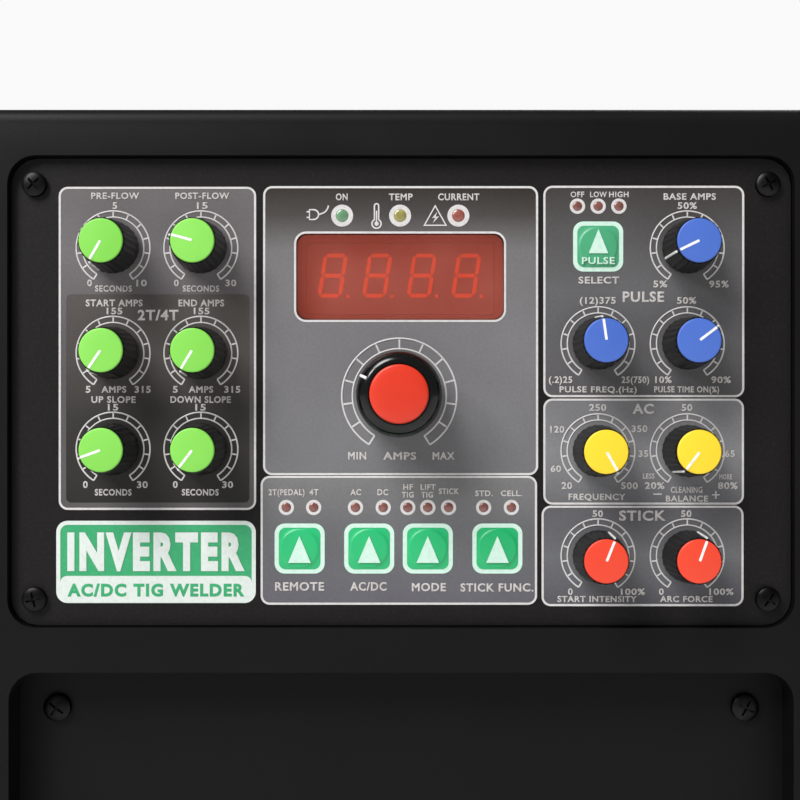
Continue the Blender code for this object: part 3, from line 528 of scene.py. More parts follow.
# %% [markdown]
# ## The moulded ends
# Each end is a deep tray. Seen from outside it's a rounded frame with flat pockets sunk into it, and every edge
# has the small radius that lets a moulding leave its tool. The outer form is one rounded slab that steps in
# towards its face, the pockets are cut with Booleans, and a bevel rounds what the cuts left sharp.

# %% Build an end
BODY_RADIUS, BODY_EDGE, CASE_FIT, CASE_FLOOR, CASE_CORNER = 10.0, 4.0, 0.4, 15.5, 3.5
POCKET_SUNK, RIM, MOULD_RADIUS = 12.0, 18.0, 0.7
body_low, body_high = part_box("front_bezel")
body_width, body_height = (1000 * (body_high[i] - body_low[i]) for i in (0, 2))
bezel_depth = 1000 * (body_high.y - body_low.y)
cover_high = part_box("case_cover")[1]
panel_low, panel_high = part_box("control_panel_plate")
panel_centre = (panel_low + panel_high) / 2
panel_width, panel_height = (1000 * (panel_high[i] - panel_low[i]) for i in (0, 2))
PANEL_FACE = Vector((panel_centre.x, panel_low.y, panel_centre.z))
BODY_FACE = Vector((0, body_low.y, (body_low.z + body_high.z) / 2))
BACK_FACE = Vector((0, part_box("rear_bezel")[1].y, BODY_FACE.z))


def from_body(z):
    """How far a height above the floor, in millimetres, is above the middle of an end."""
    return z - 1000 * BODY_FACE.z


def end_blank(name, origin, turn):
    """The outer form of an end, whose face is at depth 0 and whose open side is behind it."""
    bm = bmesh.new()
    edge = arc((BODY_EDGE, BODY_EDGE), BODY_EDGE, 180, 270, 6)
    steps = [(depth, inset) for inset, depth in edge][::-1] + [(bezel_depth, 0)]
    rings = []
    for depth, inset in steps:
        outline = rounded(body_width - 2 * inset, body_height - 2 * inset, BODY_RADIUS - inset)
        rings.append([bm.verts.new((x, depth, z)) for x, z in outline])
    bridge(bm, rings, len(rings[0]))
    bm.faces.new(rings[0])
    bm.faces.new(rings[-1][::-1])
    end = new_piece(name, bm, origin, turn)
    sleeve_width = 2000 * cover_high.x + 2 * CASE_FIT
    sleeve_top = 1000 * cover_high.z + CASE_FIT
    sleeve_middle = (0, from_body((sleeve_top + CASE_FLOOR) / 2))
    sleeve = rounded(sleeve_width, sleeve_top - CASE_FLOOR, CASE_CORNER, sleeve_middle)
    return cut_end(end, [sleeve], RIM, bezel_depth + 1, origin, turn)


def cut_end(end, loops, front, back, origin, turn):
    bm = slab(loops, front, back)
    if turn is not None:
        bmesh.ops.transform(bm, matrix=turn, verts=bm.verts)
    return carve(end, bm, origin)


# %% [markdown]
# ### The front end
# The panel sits in a shallow seat over an opening for its circuit board. Below it a pocket holds the sockets and
# six intake slots, so that nothing in it stands out beyond the rim when the machine falls on its face.

# %% The front end
SEAT_GAP, SEAT_SUNK, BOARD_OPENING = 0.7, 5.3, (200, 112)
POCKET_WIDTH, POCKET_CORNER = 222, 8
FRONT_POCKET_HEIGHT, FRONT_POCKET_MIDDLE = 236, 142
SLOT_LENGTH, SLOT_HEIGHT, LOWEST_SLOT, SLOT_PITCH, SLOTS = 150, 5, 132, 13, 6
SOCKET_HOLES = {"negative_output_socket": 13.5, "positive_output_socket": 13.5,
                "gas_outlet_fitting": 6.3, "remote_control_socket": 8.3}
front = end_blank("front_bezel_moulding", BODY_FACE, None)
panel_rise = from_body(1000 * panel_centre.z)
seat = rounded(panel_width + SEAT_GAP, panel_height + SEAT_GAP, POCKET_CORNER, (0, panel_rise))
cut_end(front, [seat], -1, SEAT_SUNK, BODY_FACE, None)
cut_end(front, [rounded(*BOARD_OPENING, 4, (0, panel_rise))], 5, RIM + 1, BODY_FACE, None)
front_pocket = rounded(POCKET_WIDTH, FRONT_POCKET_HEIGHT, POCKET_CORNER, (0, from_body(FRONT_POCKET_MIDDLE)))
cut_end(front, [front_pocket], -1, POCKET_SUNK, BODY_FACE, None)
socket_z = from_body(1000 * centre_of("remote_control_socket").z)
holes = [disc(radius, (1000 * centre_of(node).x, socket_z)) for node, radius in SOCKET_HOLES.items()]
for row in range(SLOTS):
    holes.append(rounded(SLOT_LENGTH, SLOT_HEIGHT, 2.4, (0, from_body(LOWEST_SLOT + SLOT_PITCH * row)), 4))
cut_end(front, holes, POCKET_SUNK - 1, RIM + 1, BODY_FACE, None)
soften(front, MOULD_RADIUS, 2)
fix(front, "machine", textured_abs, ["front_bezel"])

# %% [markdown]
# ### The rear end
# The same blank, turned about. One tall pocket holds the openings for the fan, the switch, the gas valve and the
# cable gland.

# %% The rear end
REAR_POCKET_HEIGHT, REAR_POCKET_MIDDLE = 380, 214
VALVE_X, VALVE_Z = 70.0, 84.0
about_face = Matrix.Rotation(math.radians(180), 4, "Z")
rear = end_blank("rear_bezel_moulding", BACK_FACE, about_face)
fan_place, switch_place, gland_place = (centre_of(n) for n in ("fan_guard", "power_switch_body", "cable_gland"))
rear_pocket = rounded(POCKET_WIDTH, REAR_POCKET_HEIGHT, POCKET_CORNER, (0, from_body(REAR_POCKET_MIDDLE)))
cut_end(rear, [rear_pocket], -1, POCKET_SUNK, BACK_FACE, about_face)
rear_holes = [disc(70, (-1000 * fan_place.x, from_body(1000 * fan_place.z)), 64),
              rounded(37, 53, 0.8, (-1000 * switch_place.x, from_body(1000 * switch_place.z)), 2),
              disc(7.6, (-VALVE_X, from_body(VALVE_Z))),
              disc(12.6, (-1000 * gland_place.x, from_body(1000 * gland_place.z)))]
cut_end(rear, rear_holes, POCKET_SUNK - 1, RIM + 1, BACK_FACE, about_face)
soften(rear, MOULD_RADIUS, 2)
fix(rear, "machine", textured_abs, ["rear_bezel"])

# %% [markdown]
# ## Repeating a shape with Geometry Nodes
# Screws, louvres and pins repeat one small shape in many places. A Geometry Nodes tree does that well: the places
# are the points of a host mesh, and the tree puts the shape on each. Its inputs have names, so one tree serves
# every set of screws. It ends by making the copies real and giving them their material, and the result is turned
# into a plain mesh, because instances don't survive an export.

# %% Begin and end a tree
def new_tree(name, inputs):
    """An empty Geometry Nodes tree with a geometry in and out, and named inputs: (name, socket type)."""
    tree = bpy.data.node_groups.new(name, "GeometryNodeTree")
    tree.interface.new_socket("Points", in_out="INPUT", socket_type="NodeSocketGeometry")
    for label, kind in inputs:
        tree.interface.new_socket(label, in_out="INPUT", socket_type=kind)
    tree.interface.new_socket("Geometry", in_out="OUTPUT", socket_type="NodeSocketGeometry")
    return tree, tree.nodes.new("NodeGroupInput"), tree.nodes.new("NodeGroupOutput")


def finish_tree(tree, source, geometry, end):
    """Ends a tree as the export needs it: real copies, with their material set."""
    real = add(tree, "GeometryNodeRealizeInstances", {"Geometry": geometry})
    coated = add(tree, "GeometryNodeSetMaterial",
                 {"Geometry": real.outputs["Geometry"], "Material": source.outputs["Finish"]})
    tree.links.new(coated.outputs["Geometry"], end.inputs["Geometry"])


# %% Run a tree on points
def run_tree(name, tree, points, **values):
    """Runs a tree on a host mesh of points, in metres, and returns the plain result."""
    host_mesh = bpy.data.meshes.new(name)
    host_mesh.from_pydata([tuple(p) for p in points], [], [])
    piece = bpy.data.objects.new(name, host_mesh)
    machine.objects.link(piece)
    modifier = piece.modifiers.new("rule", "NODES")
    modifier.node_group = tree
    for item in tree.interface.items_tree:
        if item.in_out == "INPUT" and item.name in values:
            modifier[item.identifier] = values[item.name]
    return settle(piece)


# %% The tree that copies a shape
def copies_tree():
    """Puts one object on every point. Each copy turns about the axis that Turn names, by a random part of it."""
    tree, source, end = new_tree("copies on points", [
        ("Shape", "NodeSocketObject"), ("Turn", "NodeSocketVector"), ("Seed", "NodeSocketInt"),
        ("Finish", "NodeSocketMaterial")])
    shape = add(tree, "GeometryNodeObjectInfo", {"Object": source.outputs["Shape"]})
    chance = add(tree, "FunctionNodeRandomValue", {"Seed": source.outputs["Seed"]}, data_type="FLOAT")
    turn = add(tree, "ShaderNodeVectorMath", {0: source.outputs["Turn"], "Scale": chance.outputs[1]},
               operation="SCALE")
    copies = add(tree, "GeometryNodeInstanceOnPoints",
                 {"Points": source.outputs["Points"], "Instance": shape.outputs["Geometry"],
                  "Rotation": turn.outputs["Vector"]})
    finish_tree(tree, source, copies.outputs["Instances"], end)
    return tree


COPIES = copies_tree()


def repeat(name, shape, points, finish, turn=(0, 0, 0), seed=1):
    """Copies a drawn object onto points with the tree, then removes the drawn object."""
    made = run_tree(name, COPIES, points, Shape=shape, Turn=turn, Seed=seed, Finish=finish)
    bpy.data.objects.remove(shape)
    made.data.shade_smooth()
    made.data.set_sharp_from_angle(angle=math.radians(30))
    return made


# %% [markdown]
# ## Screws
# The panel and the case are held by pan-head machine screws with a cross recess, blackened in an oxide bath. One
# head is turned and its cross is cut, then it's repeated at every hole. Screws are never done up to the same
# angle, so each copy takes a seeded random turn about its own axis.

# %% Draw a screw
CROSS_ROOT, CROSS_TIP = 0.36, 0.27  # half the width of the recess's arms, which taper


def cross_screw(radius, height, recess):
    """A pan head whose underside is at depth 0 and which stands towards -Y."""
    crown = [(0, -height)] + [(radius * math.sin(t), -height * (0.55 + 0.45 * math.cos(t)))
                              for t in (math.radians(15 * i) for i in range(1, 7))]
    screw = new_piece("screw", lathe(crown + [(radius, 0), (0, 0)], 28))
    corner = [(CROSS_TIP, recess), (CROSS_ROOT, CROSS_ROOT), (recess, CROSS_TIP)]
    outline = []
    for quarter in range(4):
        turn = math.radians(-90 * quarter)
        outline += [(x * math.cos(turn) - z * math.sin(turn), x * math.sin(turn) + z * math.cos(turn))
                    for x, z in corner]
    return carve(screw, slab([outline], -height - 1, -height * 0.4))


def facing(direction):
    """The turn that points a shape drawn towards -Y in another direction."""
    return {"front": None, "back": Matrix.Rotation(math.pi, 4, "Z"), "right": Matrix.Rotation(math.pi / 2, 4, "Z"),
            "left": Matrix.Rotation(-math.pi / 2, 4, "Z"), "up": Matrix.Rotation(-math.pi / 2, 4, "X")}[direction]


def screws(name, direction, points, finish=black_oxide, radius=3.5, height=2.2, seed=1):
    shape = cross_screw(radius, height, radius * 0.62)
    turn = facing(direction)
    if turn is not None:
        shape.data.transform(turn)
    spin = {"front": (0, 6.28, 0), "back": (0, 6.28, 0), "right": (6.28, 0, 0), "left": (6.28, 0, 0),
            "up": (0, 0, 6.28)}
    made = repeat(name, shape, points, finish, spin[direction], seed)
    return fix(made, "machine", finish)


# %% Screw the panel, the case and the ends
LIFT = 0.05  # keeps the underside of a head clear of the face that it sits on


def on_panel(x, z, y=0):
    """A place on the panel, in metres, from millimetres right and up of its middle and behind its face."""
    return PANEL_FACE + Vector((x, y, z)) * MM


screws("panel_screws", "front", [on_panel(x, z, -LIFT) for x in (-104.3, 104.3) for z in (-59, 59)], seed=4)
side_rows = [(y, z) for y in (-200, 0, 200) for z in (32, 392)]
for side, sign in (("right", 1), ("left", -1)):
    places = [(sign * (cover_high.x + LIFT * MM), y * MM, z * MM) for y, z in side_rows]
    screws(f"case_screws_{side}", side, places, radius=4, height=2.4, seed=7)
rear_corners = [BACK_FACE + Vector((x, -POCKET_SUNK + LIFT, from_body(z))) * MM for x in (-100, 100) for z in (36, 392)]
screws("rear_screws", "back", rear_corners, radius=4, height=2.4, seed=9)
front_corners = [BODY_FACE + Vector((x, POCKET_SUNK - LIFT, from_body(z))) * MM for x in (-100, 100) for z in (36, 248)]
screws("front_screws", "front", front_corners, radius=4, height=2.4, seed=12)

# %% [markdown]
# ## The case and its louvres
# The cover is one sheet folded over the machine. A press cut each cooling slot and pushed the metal beside it out
# into a hood, so that rain and grinding sparks don't fall in. The slots are in the CAD sheet already. One hood is
# drawn as a grid whose bulge follows a sine along its length and across it, given the sheet's thickness, and
# repeated on every slot.

# %% Louvres
HOOD_LENGTH, HOOD_HEIGHT, HOOD_REACH, SHEET = 88.0, 9.0, 2.7, 0.8
LOUVRE_ROWS, LOUVRE_PITCH, LOWEST_LOUVRE, LOUVRE_OFF_MIDDLE = 8, 15, 194.5, 104


def louvre_hood():
    """A pressed hood on the +X side, open below, whose root is at x = 0."""
    bm = bmesh.new()
    across, up = 28, 8
    grid = []
    for i in range(across + 1):
        along = -1 + 2 * i / across
        ends = (1 - along ** 10) ** 0.5 if abs(along) < 1 else 0
        column = []
        for j in range(up + 1):
            rise = math.cos(math.pi / 2 * j / up) ** 0.7 if j < up else 0
            column.append(bm.verts.new((HOOD_REACH * rise * ends, along * HOOD_LENGTH / 2, HOOD_HEIGHT * j / up)))
        grid.append(column)
    for i in range(across):
        for j in range(up):
            bm.faces.new((grid[i][j], grid[i + 1][j], grid[i + 1][j + 1], grid[i][j + 1]))
    hood = new_piece("hood", bm)
    sheet = hood.modifiers.new("sheet", "SOLIDIFY")
    sheet.thickness, sheet.offset = SHEET * MM, 0
    return settle(hood)


for side, sign in (("right", 1), ("left", -1)):
    hood = louvre_hood()
    if sign < 0:
        hood.data.transform(Matrix.Rotation(math.pi, 4, "Z"))
    slots = [(sign * cover_high.x, y * MM, (LOWEST_LOUVRE + LOUVRE_PITCH * row) * MM)
             for y in (-LOUVRE_OFF_MIDDLE, LOUVRE_OFF_MIDDLE) for row in range(LOUVRE_ROWS)]
    fix(repeat(f"louvres_{side}", hood, slots, case_paint), "machine", case_paint)
dress("case_cover", case_paint)
dress("base_chassis", base_paint)

# %% [markdown]
# ## Handle and feet
# The handle is steel tube, bent twice and welded to two flanges, with a ribbed rubber grip pushed over it. The
# tube follows a path of straight runs and arcs, as it does in the bending machine, and a bead of weld runs round
# each of its ends.

# %% Handle
FLANGE_THICK, WELD_BEAD = 4, 1.6
handle_low, handle_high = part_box("carry_handle")
HANDLE_FRONT, HANDLE_REAR, TUBE_RADIUS, HANDLE_BEND = -50.0, 110.0, 10.0, 22.0
flange_base, tube_top = 1000 * handle_low.z, 1000 * handle_high.z - TUBE_RADIUS


def handle_path():
    path = [(0, HANDLE_FRONT, flange_base + 3)]
    for y, start in ((HANDLE_FRONT + HANDLE_BEND, 180), (HANDLE_REAR - HANDLE_BEND, 90)):
        path += [(0, a, b) for a, b in arc((y, tube_top - HANDLE_BEND), HANDLE_BEND, start, start - 90, 12)]
    return path + [(0, HANDLE_REAR, flange_base + 3)]


tube = bmesh.new()
add_tube(tube, handle_path(), TUBE_RADIUS, sides=32)
for y in (HANDLE_FRONT, HANDLE_REAR):
    flange = slab([rounded(52, 34, 8, (0, y))], -flange_base - FLANGE_THICK, -flange_base)
    bmesh.ops.rotate(flange, verts=flange.verts, matrix=Matrix.Rotation(math.radians(-90), 3, "X"))
    add_shape(tube, flange)
    weld = [(10 * math.cos(t) * 1.12, y + 10 * math.sin(t) * 1.12, flange_base + FLANGE_THICK + 0.3)
            for t in (2 * math.pi * i / 40 for i in range(40))]
    add_tube(tube, weld, WELD_BEAD, sides=12, closed=True)
fix(new_piece("handle_tube", tube), "machine", base_paint, ["carry_handle"])
flange_top = flange_base + FLANGE_THICK
flange_screws = [(x * MM, y * MM, flange_top * MM) for y in (HANDLE_FRONT, HANDLE_REAR) for x in (-19, 19)]
screws("handle_screws", "up", flange_screws, radius=3.6, height=2.2, seed=21)

# %% [markdown]
# ### Grip
# The rubber sleeve has a shallow rib every four millimetres. It's turned like the rest: one rib is four points of
# the profile, and a loop repeats them along the sleeve.

# %% Grip
GRIP_RIB, GRIP_FRONT, GRIP_REAR = 4.0, HANDLE_FRONT + 26, HANDLE_REAR - 26
ribs = []
rib_count = int((GRIP_REAR - GRIP_FRONT) / GRIP_RIB)
for i in range(rib_count):
    start = GRIP_FRONT + i * GRIP_RIB
    ribs += [(10.2, start), (10.75, start + 0.4), (10.75, start + GRIP_RIB - 1.2), (10.2, start + GRIP_RIB - 0.8)]
grip_profile = [(9.9, GRIP_FRONT)] + ribs + [(9.9, GRIP_FRONT + rib_count * GRIP_RIB)]
grip = new_piece("grip_sleeve", lathe(grip_profile, 40, closed=True), (0, 0, tube_top * MM - 0.0008))
fix(grip, "machine", grip_rubber)

# %% [markdown]
# ### Feet
# Moulded rubber with a flared rim, on which the machine stands, and a hole from below for the screw. A turned
# profile has all of it.

# %% Feet
stand = Matrix.Rotation(math.radians(90), 4, "X")
for foot in ("foot_front_left", "foot_front_right", "foot_rear_left", "foot_rear_right"):
    low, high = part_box(foot)
    tall = 1000 * (high.z - low.z)
    profile = [(0, 9), (5, 9), (5, 0.8), (5.6, 0), (15.2, 0)] + arc((15.4, 1.6), 1.6, -80, 10, 6)
    profile += [(16.2, 3.2), (15.9, 3.6), (15.6, 8), (15.9, 8.4), (15.5, 9.6), (14.6, tall - 0.8), (14, tall)]
    profile += [(0, tall)]
    spot = ((low.x + high.x) / 2, (low.y + high.y) / 2, low.z)
    rubber = new_piece(f"{foot}_rubber", lathe(profile, 56), spot, stand)
    fix(rubber, "machine", foot_rubber, [foot])

# %% [markdown]
# ## The printed panel
# The panel is a steel plate. Its grey fields, pale lines, dials and words are printed on it in layers a few
# hundredths of a millimetre thick. Each layer is a thin slab, a little in front of the one below, so that no two
# faces share a plane. The layout is in millimetres from the middle of the panel, right and up.

# %% Where the controls are
KNOBS = {}
for joint in frame["joints"]:
    if joint["name"].endswith("_turn"):
        at = (Vector(joint["pos_m"]) - PANEL_FACE) / MM
        KNOBS[joint["child"]] = (at.x, at.z)
KEYS = {name: (centre_of(name) - PANEL_FACE) / MM for name in (
    "remote_button", "ac_dc_button", "mode_button", "stick_function_button", "pulse_button")}
window_middle = (centre_of("display_window") - PANEL_FACE) / MM
WINDOW_WIDTH, WINDOW_HEIGHT = 60.2, 25.6
STATUS_LAMPS = {"on": -16.8, "temp": -0.3, "current": 16.3}
STATUS_Z = 50.2
SMALL_LAMPS = [(x, -32.9) for x in (-32.7, -24.9, -13.0, -5.1, 1.9, 7.6, 13.5, 23.5, 31.4)]
SMALL_LAMPS += [(x, 52.9) for x in (50.2, 56.1, 62.0)]
print(len(KNOBS), "knobs,", len(KEYS), "keys,", len(STATUS_LAMPS) + len(SMALL_LAMPS), "lamps")

# %% Layers
LAYERS = {"field": (-0.12, -0.02), "inset": (-0.17, -0.1), "line": (-0.22, -0.1), "word": (-0.27, -0.15)}
# Each field's greys are partly its printed tone and partly painted shade, lighter or darker with height.
GREYS_WITH_PAINTED_SHADE = {  # from the bottom of a field to its top
    "slopes": [(0, "585455"), (0.4, "565253"), (0.8, "6b6769"), (1, "686465")],
    "slopes_inset": [(0, "242321"), (0.4, "32302e"), (0.7, "4a4542"), (1, "544e4b")],
    "display": [(0, "706f71"), (0.45, "757375"), (0.78, "716e6f"), (0.9, "45413f"), (1, "2b2723")],
    "modes": [(0, "615f66"), (0.6, "68686a"), (1, "797879")],
    "pulse": [(0, "545254"), (0.5, "616062"), (0.8, "525050"), (1, "3b3735")],
    "ac": [(0, "69696c"), (0.5, "818183"), (1, "767577")],
    "stick": [(0, "515056"), (0.5, "6c6c6f"), (1, "5d5c60")],
}
FIELDS = {  # left, right, top, bottom, corner radius
    "slopes": (-97.5, -41.3, 58.4, -33.6, 2.6),
    "display": (-39.3, 39.0, 58.6, -23.7, 2.6),
    "modes": (-40.0, 38.7, -23.9, -60.6, 2.6),
    "pulse": (40.5, 97.7, 58.7, -1.5, 2.6),
    "ac": (40.5, 97.6, -1.9, -32.1, 2.6),
    "stick": (40.0, 97.5, -32.4, -61.0, 2.6),
}


def field_outline(left, right, top, bottom, radius, inset=0.0):
    middle = ((left + right) / 2, (top + bottom) / 2)
    return rounded(right - left - 2 * inset, top - bottom - 2 * inset, max(radius - inset, 0.3), middle)


def holes_within(left, right, top, bottom):
    """The openings for knobs, lamps, keys and the window that fall inside a field."""
    openings = [(place, disc(5.4, place)) for place in KNOBS.values()]
    openings += [(place, disc(1.6, place, 16)) for place in SMALL_LAMPS]
    openings += [((x, STATUS_Z), disc(2.3, (x, STATUS_Z), 20)) for x in STATUS_LAMPS.values()]
    for key in KEYS.values():
        openings.append(((key.x, key.z), rounded(12.3, 12.3, 2.1, (key.x, key.z))))
    window = (window_middle.x, window_middle.z)
    openings.append((window, rounded(WINDOW_WIDTH - 1.0, WINDOW_HEIGHT - 1.0, 2.9, window)))
    return [hole for (x, z), hole in openings if left < x < right and bottom < z < top]


# %% Print the fields
def print_field(name, limits, layer):
    left, right, top, bottom, radius = limits
    loops = [field_outline(*limits)] + holes_within(left, right, top, bottom)
    printed = new_piece(f"{name}_field", slab(loops, *LAYERS[layer]), PANEL_FACE)
    low, high = (PANEL_FACE.z + level * MM for level in (bottom, top))
    # The fade holds painted shade as well as the print's grey.
    fade_and_shade = fade_with_painted_shade(f"{name} grey print and painted shade", low, high, GREYS_WITH_PAINTED_SHADE[name])
    return fix(printed, "machine", fade_and_shade)


for name, limits in FIELDS.items():
    print_field(name, limits, "field")
print_field("slopes_inset", (-95.4, -43.2, 27.8, -31.5, 1.4), "inset")
dress("control_panel_plate", panel_paint)

# %% Lines round the fields, the window and the keys
LINE = 0.6
lines = bmesh.new()
for limits in FIELDS.values():
    add_slab(lines, [field_outline(*limits), field_outline(*limits, inset=LINE)], *LAYERS["line"])
window_at = (window_middle.x, window_middle.z)
add_slab(lines, [rounded(WINDOW_WIDTH + 0.2, WINDOW_HEIGHT + 0.2, 3.5, window_at),
                 rounded(WINDOW_WIDTH - 1.0, WINDOW_HEIGHT - 1.0, 2.9, window_at)], *LAYERS["line"])
for x, z in SMALL_LAMPS:
    add_slab(lines, [disc(2.18, (x, z)), disc(1.38, (x, z))], *LAYERS["line"])
for x in STATUS_LAMPS.values():
    add_slab(lines, [disc(3.13, (x, STATUS_Z)), disc(1.83, (x, STATUS_Z))], *LAYERS["line"])
fix(new_piece("printed_lines", lines, PANEL_FACE), "machine", pale_ink)
key_borders = bmesh.new()
for key in KEYS.values():
    border = [rounded(14.25, 14.25, 2.9, (key.x, key.z)), rounded(11.86, 11.86, 2.0, (key.x, key.z))]
    add_slab(key_borders, border, *LAYERS["line"])
fix(new_piece("key_borders", key_borders, PANEL_FACE), "machine", key_border_ink)

# %% [markdown]
# ### Dials
# Every knob has the same dial: two arcs joined by short ticks, open at the bottom. That's a rule, so a tree draws
# it from its radii, sweep and number of divisions. The arcs are swept curves, and the ticks are copies of one
# bar, each turned by its own index. The whole dial is drawn flat, pressed to the thickness of ink, set upright,
# and put on every knob's centre.

# %% The tree that draws a dial
def dial_tree():
    tree, source, end = new_tree("dial", [
        ("Outer", "NodeSocketFloat"), ("Inner", "NodeSocketFloat"), ("Sweep", "NodeSocketFloat"),
        ("Divisions", "NodeSocketInt"), ("Line", "NodeSocketFloat"), ("Thickness", "NodeSocketFloat"),
        ("Finish", "NodeSocketMaterial")])
    outer, inner, line = (source.outputs[name] for name in ("Outer", "Inner", "Line"))
    sweep, divisions = source.outputs["Sweep"], source.outputs["Divisions"]
    half = add(tree, "ShaderNodeMath", {0: sweep, 1: 0.5}, operation="MULTIPLY").outputs[0]
    start = add(tree, "ShaderNodeMath", {0: math.pi / 2, 1: half}, operation="SUBTRACT").outputs[0]
    section = add(tree, "GeometryNodeCurvePrimitiveQuadrilateral", {"Width": line, "Height": line}, mode="RECTANGLE")
    parts = add(tree, "GeometryNodeJoinGeometry")
    for radius in (outer, inner):
        bow = add(tree, "GeometryNodeCurveArc", {"Resolution": 73, "Radius": radius, "Start Angle": start,
                                                 "Sweep Angle": sweep}, mode="RADIUS")
        swept = add(tree, "GeometryNodeCurveToMesh", {"Curve": bow.outputs["Curve"],
                                                      "Profile Curve": section.outputs["Curve"], "Fill Caps": True})
        tree.links.new(swept.outputs["Mesh"], parts.inputs["Geometry"])
    # A tick is a little thinner than the arcs, so that no two printed faces lie in one plane.
    reach = add(tree, "ShaderNodeMath", {0: outer, 1: inner}, operation="SUBTRACT").outputs[0]
    thin = add(tree, "ShaderNodeMath", {0: line, 1: 0.8}, operation="MULTIPLY").outputs[0]
    size = add(tree, "ShaderNodeCombineXYZ", {"X": reach, "Y": line, "Z": thin})
    tick = add(tree, "GeometryNodeMeshCube", {"Size": size.outputs["Vector"]})
    both = add(tree, "ShaderNodeMath", {0: outer, 1: inner}, operation="ADD").outputs[0]
    middle = add(tree, "ShaderNodeMath", {0: both, 1: 0.5}, operation="MULTIPLY").outputs[0]
    out = add(tree, "ShaderNodeCombineXYZ", {"X": middle})
    moved = add(tree, "GeometryNodeTransform", {"Geometry": tick.outputs["Mesh"], "Translation": out.outputs["Vector"]})
    count = add(tree, "ShaderNodeMath", {0: divisions, 1: 1.0}, operation="ADD").outputs[0]
    centres = add(tree, "GeometryNodePoints", {"Count": count})
    number = add(tree, "GeometryNodeInputIndex").outputs["Index"]
    step = add(tree, "ShaderNodeMath", {0: sweep, 1: divisions}, operation="DIVIDE").outputs[0]
    gone = add(tree, "ShaderNodeMath", {0: number, 1: step}, operation="MULTIPLY").outputs[0]
    angle = add(tree, "ShaderNodeMath", {0: start, 1: gone}, operation="ADD").outputs[0]
    spin = add(tree, "ShaderNodeCombineXYZ", {"Z": angle})
    ticks = add(tree, "GeometryNodeInstanceOnPoints",
                {"Points": centres.outputs["Points"], "Instance": moved.outputs["Geometry"],
                 "Rotation": spin.outputs["Vector"]})
    tree.links.new(ticks.outputs["Instances"], parts.inputs["Geometry"])
    press = add(tree, "ShaderNodeMath", {0: source.outputs["Thickness"], 1: line}, operation="DIVIDE").outputs[0]
    flat = add(tree, "ShaderNodeCombineXYZ", {"X": 1.0, "Y": 1.0, "Z": press})
    pressed = add(tree, "GeometryNodeTransform", {"Geometry": parts.outputs["Geometry"],
                                                  "Scale": flat.outputs["Vector"]})
    upright = add(tree, "GeometryNodeTransform", {"Geometry": pressed.outputs["Geometry"],
                                                  "Rotation": (math.pi / 2, 0, 0)})
    dials = add(tree, "GeometryNodeInstanceOnPoints", {"Points": source.outputs["Points"],
                                                       "Instance": upright.outputs["Geometry"]})
    finish_tree(tree, source, dials.outputs["Instances"], end)
    return tree


# %% Print the dials
DIALS = dial_tree()
SMALL_DIAL = {"Outer": 10.5 * MM, "Inner": 8.75 * MM, "Line": 0.42 * MM}
MAIN_DIAL = {"Outer": 16.35 * MM, "Inner": 13.35 * MM, "Line": 0.5 * MM}
shared = {"Sweep": math.radians(296), "Divisions": 12, "Thickness": 0.12 * MM, "Finish": pale_ink}
dial_depth = sum(LAYERS["line"]) / 2
small_places = [on_panel(x, z, dial_depth) for name, (x, z) in KNOBS.items() if name != "main_amps"]
main_place = on_panel(*KNOBS["main_amps"], dial_depth)
for name, places, measures in (("small_dials", small_places, SMALL_DIAL), ("main_dial", [main_place], MAIN_DIAL)):
    fix(run_tree(name, DIALS, places, **measures, **shared), "machine", pale_ink)

# %% [markdown]
# ### Words and numbers
# The legends are plain words for what each control does, and dial numbers. Each is a Blender text, turned into
# mesh. A bevel makes its letters bolder and gives them a thickness, and then they're pressed as flat as ink. The
# text's own offset would make it bold too, but it tears the sharp inner corners of an M. A word's height is the
# height of its capitals, measured once from a letter H.

